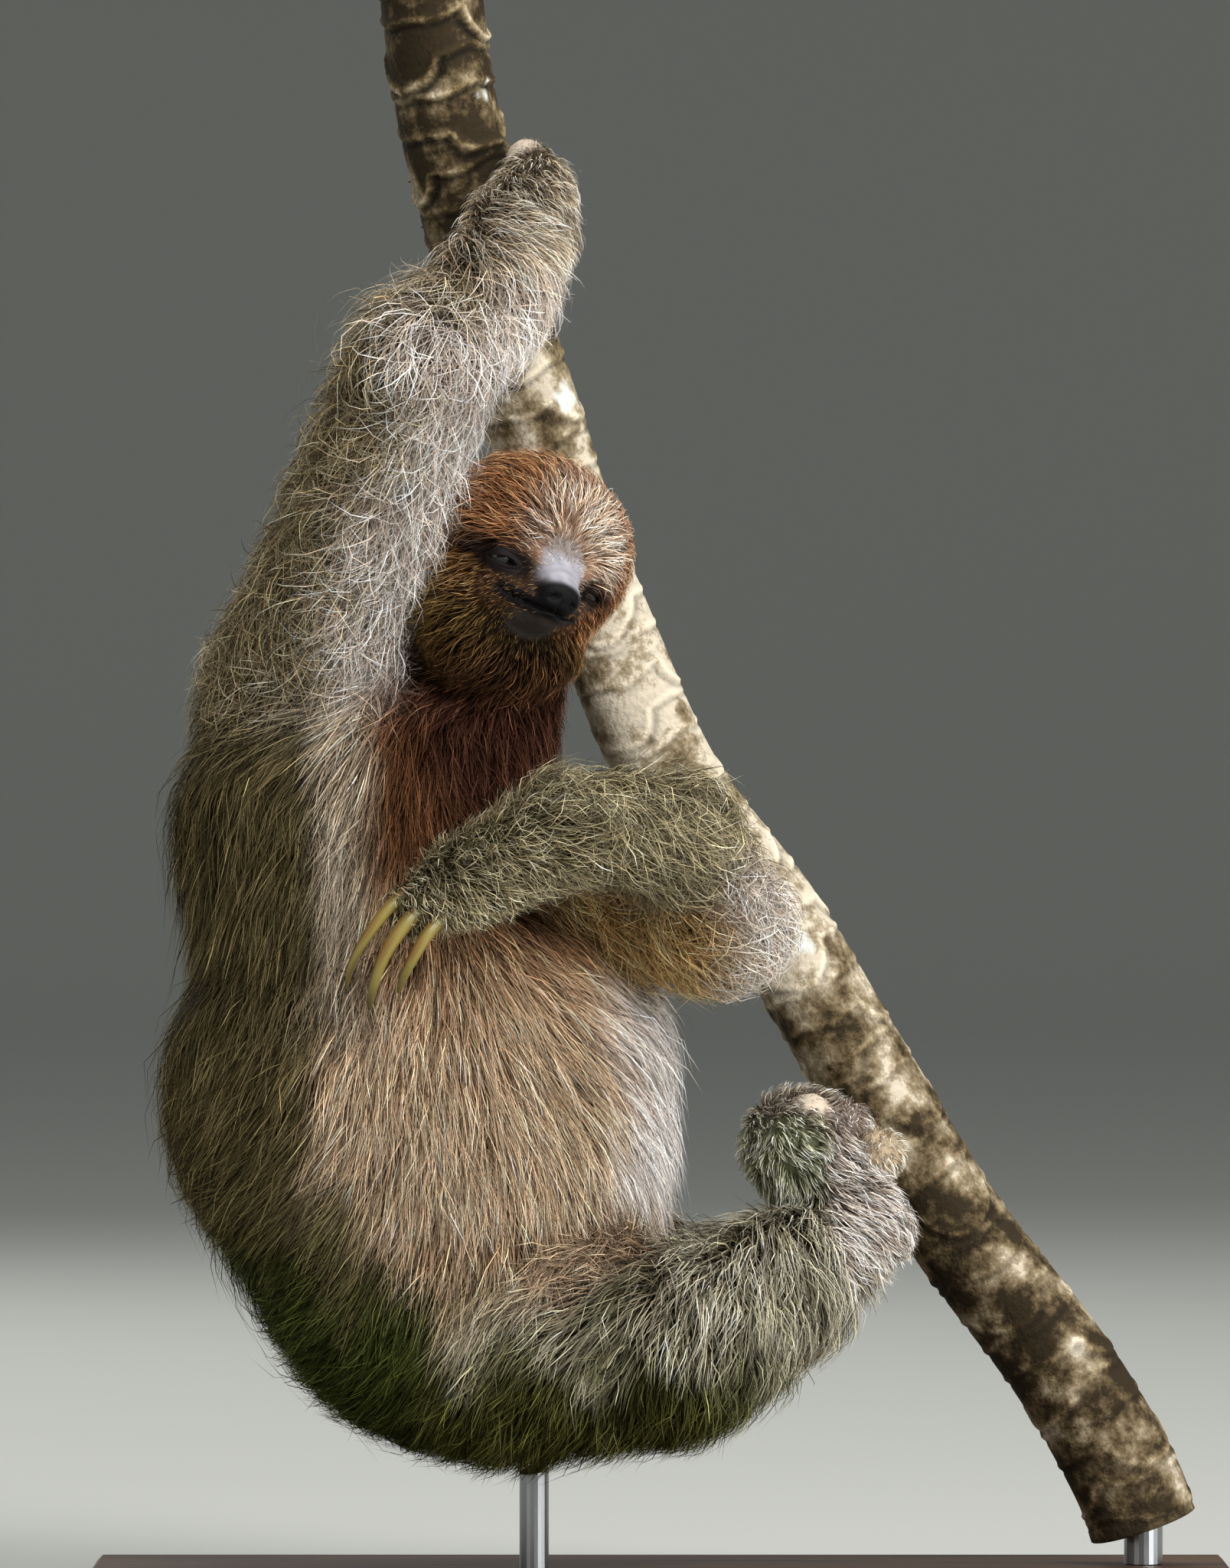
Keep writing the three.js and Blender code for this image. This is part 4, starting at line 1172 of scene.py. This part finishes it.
def tube(name, centres, along, radius_of, sides, from_axis=(0, 1, 0)):
    """A closed tube; radius_of(share, angle) gives its half width and half height."""
    across = unit(np.cross(np.array(from_axis, float), along))
    up = np.cross(along, across)
    shares = np.linspace(0, 1, len(centres))[:, None]
    angles = np.linspace(0, 2 * math.pi, sides, endpoint=False)[None, :]
    wide, high = radius_of(shares, angles)
    rings = centres[:, None] + across[:, None] * (wide * np.cos(angles))[:, :, None]
    rings = rings + up[:, None] * (high * np.sin(angles))[:, :, None]
    verts = np.vstack([rings.reshape(-1, 3), centres[:1], centres[-1:]])
    count = len(centres)
    faces = []
    for s in range(sides):
        n = (s + 1) % sides
        faces += [(i * sides + s, i * sides + n, (i + 1) * sides + n, (i + 1) * sides + s)
                  for i in range(count - 1)]
        faces += [(len(verts) - 2, n, s), (len(verts) - 1, (count - 1) * sides + s, (count - 1) * sides + n)]
    mesh = bpy.data.meshes.new(name)
    mesh.from_pydata((verts * MM).tolist(), [], faces)
    mesh.shade_smooth()
    grid = np.stack(np.broadcast_arrays(shares, angles), axis=-1).reshape(-1, 2)
    return show(name, mesh), verts, np.vstack([grid, [[0, 0], [1, 0]]])


# %% [markdown]
# ## The branch
# A cecropia-like branch: smooth pale bark with rings where leaves fell, painted shade in the dips, and a
# few lichens. Its rings are real relief, so they show on its outline as well.

# %% Branch
BRANCH_POINTS = [(-96, 2, 670), (-87, 6, 608), (-76, 14, 563), (-67, 24, 529), (-51, 36, 479), (-40, 43, 442),
                 (-19, 48, 386), (5, 50, 333), (45, 51, 279), (79, 51, 222), (119, 53, 156), (167, 58, 92),
                 (193, 62, 46), (199, 64, 29)]
SCAR_SPACING, SCAR_HEIGHT = 15.0, 1.6
BRANCH_RINGS, BRANCH_SIDES = 640, 112
branch_at, branch_along = smooth_curve(BRANCH_POINTS, BRANCH_RINGS)
branch_length = np.linalg.norm(np.diff(branch_at, axis=0), axis=1).sum()


def branch_radius(share):
    return 21 - 1.2 * np.sin(math.pi * share) + 1.5 * share


def leaf_scars(share, angle):
    """How far each place is a rim and how far a crease: a ring and a horseshoe for each lost leaf."""
    along = share * branch_length + 1.6 * np.sin(2 * angle + 3 * share) + 0.8 * np.sin(5 * angle)
    rim = crease = np.zeros(np.broadcast(share, angle).shape)
    for i in range(int(branch_length / SCAR_SPACING)):
        down = along - (i + 0.5) * SCAR_SPACING
        turn = (angle - 2.3 * i - 1.0 + math.pi) % (2 * math.pi) - math.pi
        pad = np.hypot(turn / 0.85, np.maximum(down, 0) / 13.0)
        horseshoe = np.exp(-((pad - 0.92) / 0.1) ** 2) * (down > 0)
        under = np.exp(-((pad - 1.14) / 0.11) ** 2) * (down > 1)
        ring = np.exp(-(down / 1.3) ** 2) * (pad > 0.9)
        rim = np.maximum(rim, np.maximum(horseshoe, 0.7 * ring))
        crease = np.maximum(crease, np.maximum(under, 0.8 * np.exp(-((down - 2.8) / 1.1) ** 2) * (pad > 1)))
    fresh = 1 - 0.5 * smoothstep(0.1, 0.3, share)
    return rim * fresh, crease * fresh


def bark_radius(share, angle):
    rim, crease = leaf_scars(share, angle)
    radius = branch_radius(share) + SCAR_HEIGHT * rim - 1.1 * crease + 0.6 * np.sin(3 * angle + 9 * share)
    return radius, radius


LICHENS = [((-70, -10, 617), 5.5), ((-40, 20, 492), 7.0), ((58, 32, 268), 5.0), ((150, 42, 128), 6.0)]
branch, branch_verts, branch_grid = tube("branch_bark", branch_at, branch_along, bark_radius, BRANCH_SIDES)
rim, crease = leaf_scars(branch_grid[:, 0], branch_grid[:, 1])
# Red channel: lighter on the scar rims and darker in their creases, the darkening being painted shade, with a
# little random tone.
rim_and_crease_shade = 0.5 + 0.3 * rim - 0.42 * crease + 0.05 * ripple(branch_verts, 4, 21)
PALENESS = [(0, 0.28), (0.14, 0.29), (0.24, 0.40), (0.42, 0.52), (0.6, 0.46), (0.78, 0.32), (1, 0.29)]
pale = np.interp(branch_grid[:, 0], *np.array(PALENESS).T) + 0.05 * ripple(branch_verts, 24, 22) + 0.07 * rim
lichen_edge = 1.5 * ripple(branch_verts, 5, 23)
lichen = np.max([smoothstep(size, size - 3, away_from(branch_verts, place) + lichen_edge)
                 for place, size in LICHENS], axis=0)
paint(branch.data, np.column_stack([rim_and_crease_shade, pale, lichen]))
bark, bark_surface = new_material("weathered_bark", 0.85, Specular_IOR_Level=0.2)
bark_shares = add(bark, "ShaderNodeSeparateColor", Color=tone_of(bark))
mapping = add(bark, "ShaderNodeTexCoord")
blotch = add(bark, "ShaderNodeTexNoise", Vector=mapping.outputs["Object"], Scale=1 / (20 * MM), Detail=8.0,
             Roughness=0.7)
biased = add(bark, "ShaderNodeMath", {"operation": "ADD"}, _0=blotch.outputs["Fac"],
             _1=bark_shares.outputs["Green"])
blotch_ramp = add(bark, "ShaderNodeValToRGB", Fac=biased.outputs["Value"])
stops = blotch_ramp.color_ramp.elements
stops[0].position, stops[0].color = 0.76, rgba("#2f2515")
stops[1].position, stops[1].color = 1.0, rgba("#c9bda8")
for position, hexed in ((0.83, "#5a4b33"), (0.9, "#83745a"), (0.96, "#a69880")):
    stops.new(position).color = rgba(hexed)
bark_mix = add(bark, "ShaderNodeMixRGB", {"blend_type": "MIX"}, Fac=bark_shares.outputs["Blue"],
               Color1=blotch_ramp.outputs["Color"], Color2=rgba("#d3d6d0"))
# The red channel darkens the creases as painted shade and lightens the rims.
doubled = add(bark, "ShaderNodeMath", {"operation": "MULTIPLY"}, _0=bark_shares.outputs["Red"], _1=2.0)
shaded = add(bark, "ShaderNodeVectorMath", {"operation": "SCALE"}, _0=bark_mix.outputs["Color"],
             Scale=doubled.outputs["Value"])
link(bark, shaded.outputs["Vector"], bark_surface.inputs["Base Color"])
roughen(bark, bark_surface, 2.2, 8.0, 0.8, 1.0, Vector=mapping.outputs["Object"])
branch.data.materials.append(bark)
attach(branch, "root")
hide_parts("branch")
print("branch length", round(branch_length), "mm")

# %% [markdown]
# ## Claws
# Each claw is a flattened horn hook, wide at its root and blunt at its tip. Mud and plant stains make it
# darker along its growth lines, so its colour comes from noise stretched along the hook.


# %% Hooks round the branch, and the free claws of the left hand
HOOK_POINTS, ROOT_CLEARANCE = 7, 2
HOOK_DARK, MIDDLE_CLAW_DARK, SIDE_CLAW_DARK = 0.5, 0.9, 0.55  # how dark a claw's tip is


def claw_radius(width):
    def radius(share, _angle):
        taper = (1 - share) ** 0.55 * 0.88 + 0.12
        return 0.5 * width * taper, 0.62 * width * taper
    return radius


def hook_points(share, start, stop, width):
    i = int(round(share * (BRANCH_RINGS - 1)))
    centre, tangent = branch_at[i], branch_along[i]
    across = unit(np.array([1.0, 0, 0]) - tangent[0] * tangent)
    back = unit(np.cross(tangent, across))
    back = back if back[1] > 0 else -back
    points = []
    for along in np.linspace(0, 1, HOOK_POINTS):
        angle = math.radians(start + (stop - start) * along)
        reach = branch_radius(share) + SCAR_HEIGHT + 0.6 + 0.62 * width + ROOT_CLEARANCE * (1 - along)
        points.append(centre + reach * (across * math.cos(angle) + back * math.sin(angle)))
    return points


HOOKS = {  # first and last angle, width, and the places along the branch
    "hand_right": (-18, 150, 5.6, (0.122, 0.136, 0.15)),
    "foot_right": (238, 82, 5.4, (0.7, 0.717, 0.734)),
    "foot_left": (140, 58, 5.4, (0.752, 0.769, 0.786)),
}
LEFT_HAND_CLAWS = [
    ([(-101, -99, 291), (-110, -105, 284), (-119, -104, 272), (-125, -97, 261), (-127, -88, 252)], 6.0),
    ([(-95, -101, 286), (-103, -107, 278), (-111, -107, 266), (-116, -100, 253), (-118, -89, 243)], 7.0),
    ([(-87, -101, 282), (-94, -107, 274), (-100, -106, 264), (-104, -99, 256), (-106, -90, 250)], 6.3),
]
horn, horn_surface = new_material("stained_horn", 0.38, Specular_IOR_Level=0.5)
link(horn, tone_of(horn), horn_surface.inputs["Base Color"])
HORN = {"root": "#5e582a", "body": "#8f8040", "tip": "#3c301c", "stain": "#7c461a"}
HORN = {name: linear(hexed) for name, hexed in HORN.items()}


def make_claw(name, points, width, tip_dark):
    centres, along = smooth_curve(points, 48)
    claw, verts, grid = tube(name, centres, along, claw_radius(width), 20, (0.3, 1, 0.2))
    share, angle = grid[:, 0], grid[:, 1]
    streak = ripple(np.column_stack([share * 9, np.cos(angle) * 6, np.sin(angle) * 6]), 7, len(name))
    streak = smoothstep(-0.3, 0.7, streak)[:, None]
    colour = HORN["root"] + (HORN["body"] - HORN["root"]) * smoothstep(0.0, 0.35, share)[:, None]
    colour = colour * (1 - 0.6 * streak) + HORN["stain"] * 0.6 * streak
    tip = (smoothstep(0.62, 1.0, share) * tip_dark)[:, None]
    paint(claw.data, colour * (1 - tip) + HORN["tip"] * tip)
    claw.data.materials.append(horn)
    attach(claw, "root")
    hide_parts(name)


for limb, (start, stop, width, places) in HOOKS.items():
    for i, share in enumerate(places):
        make_claw(f"claw_{limb}_{i + 1}", hook_points(share, start, stop, width), width, HOOK_DARK)
for i, (points, width) in enumerate(LEFT_HAND_CLAWS):
    make_claw(f"claw_hand_left_{i + 1}", points, width, MIDDLE_CLAW_DARK if i == 1 else SIDE_CLAW_DARK)

# %% [markdown]
# ## Eyes
# A sloth's eye is small, round and nearly black, with a wet film over it. The ball sits
# inside the lids, so only a slit of it shows.

# %% Eyes
eye_glass, eye_surface = new_material("wet_dark_eye", 0.08, Specular_IOR_Level=0.35, Coat_Weight=0.3,
                                      Coat_Roughness=0.02)
eye_surface.inputs["Base Color"].default_value = rgba("#0a0605")
for s, name in ((-1, "eye_right"), (1, "eye_left")):
    mesh = bpy.data.meshes.new(name + "_ball")
    shape = bmesh.new()
    bmesh.ops.create_uvsphere(shape, u_segments=48, v_segments=32, radius=EYE_RADIUS * MM)
    shape.to_mesh(mesh)
    shape.free()
    mesh.shade_smooth()
    mesh.transform(Matrix.Translation(Vector(from_head(EYE_AT[s]) * MM)))
    eye = show(name + "_ball", mesh)
    eye.data.materials.append(eye_glass)
    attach(eye, "root")
    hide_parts(name)

# %% [markdown]
# ## The stand
# A dark oiled board and two brushed steel rods, so plain that they read as a stand and not as the animal.

# %% Stand materials
oak, oak_surface = new_material("dark_oiled_oak", 0.5, Specular_IOR_Level=0.4)
place = add(oak, "ShaderNodeTexCoord")
stretch = add(oak, "ShaderNodeMapping", Vector=place.outputs["Object"])
stretch.inputs["Scale"].default_value = (1 / 0.16, 1 / 0.012, 1 / 0.012)
rings = add(oak, "ShaderNodeTexNoise", Vector=stretch.outputs["Vector"], Scale=1.0, Detail=6.0,
            Distortion=0.4)
oak_ramp = add(oak, "ShaderNodeValToRGB", Fac=rings.outputs["Fac"])
stops = oak_ramp.color_ramp.elements
stops[0].position, stops[0].color = 0.35, rgba("#2a1d13")
stops[1].position, stops[1].color = 0.7, rgba("#5a4029")
link(oak, oak_ramp.outputs["Color"], oak_surface.inputs["Base Color"])
steel, steel_surface = new_material("brushed_steel", 0.32, Metallic=1.0)
steel_surface.inputs["Base Color"].default_value = rgba("#a9abad")
for name, material in (("stand_base", oak), ("stand_rod_body", steel), ("stand_rod_branch", steel)):
    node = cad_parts[name]
    node.data.materials.clear()
    node.data.materials.append(material)

# %% [markdown]
# ## Fit to the frame
# The skin stands for every part of flesh, and the coat rides on it.

# %% Skin and coat ride on the frame
FLESH = [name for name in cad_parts
         if not name.startswith(("claw_", "stand_", "eye_", "branch"))]
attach(skin, "root")
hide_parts(*FLESH)
for coat in coats:
    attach(coat, "root")
print("flesh nodes:", len(FLESH))
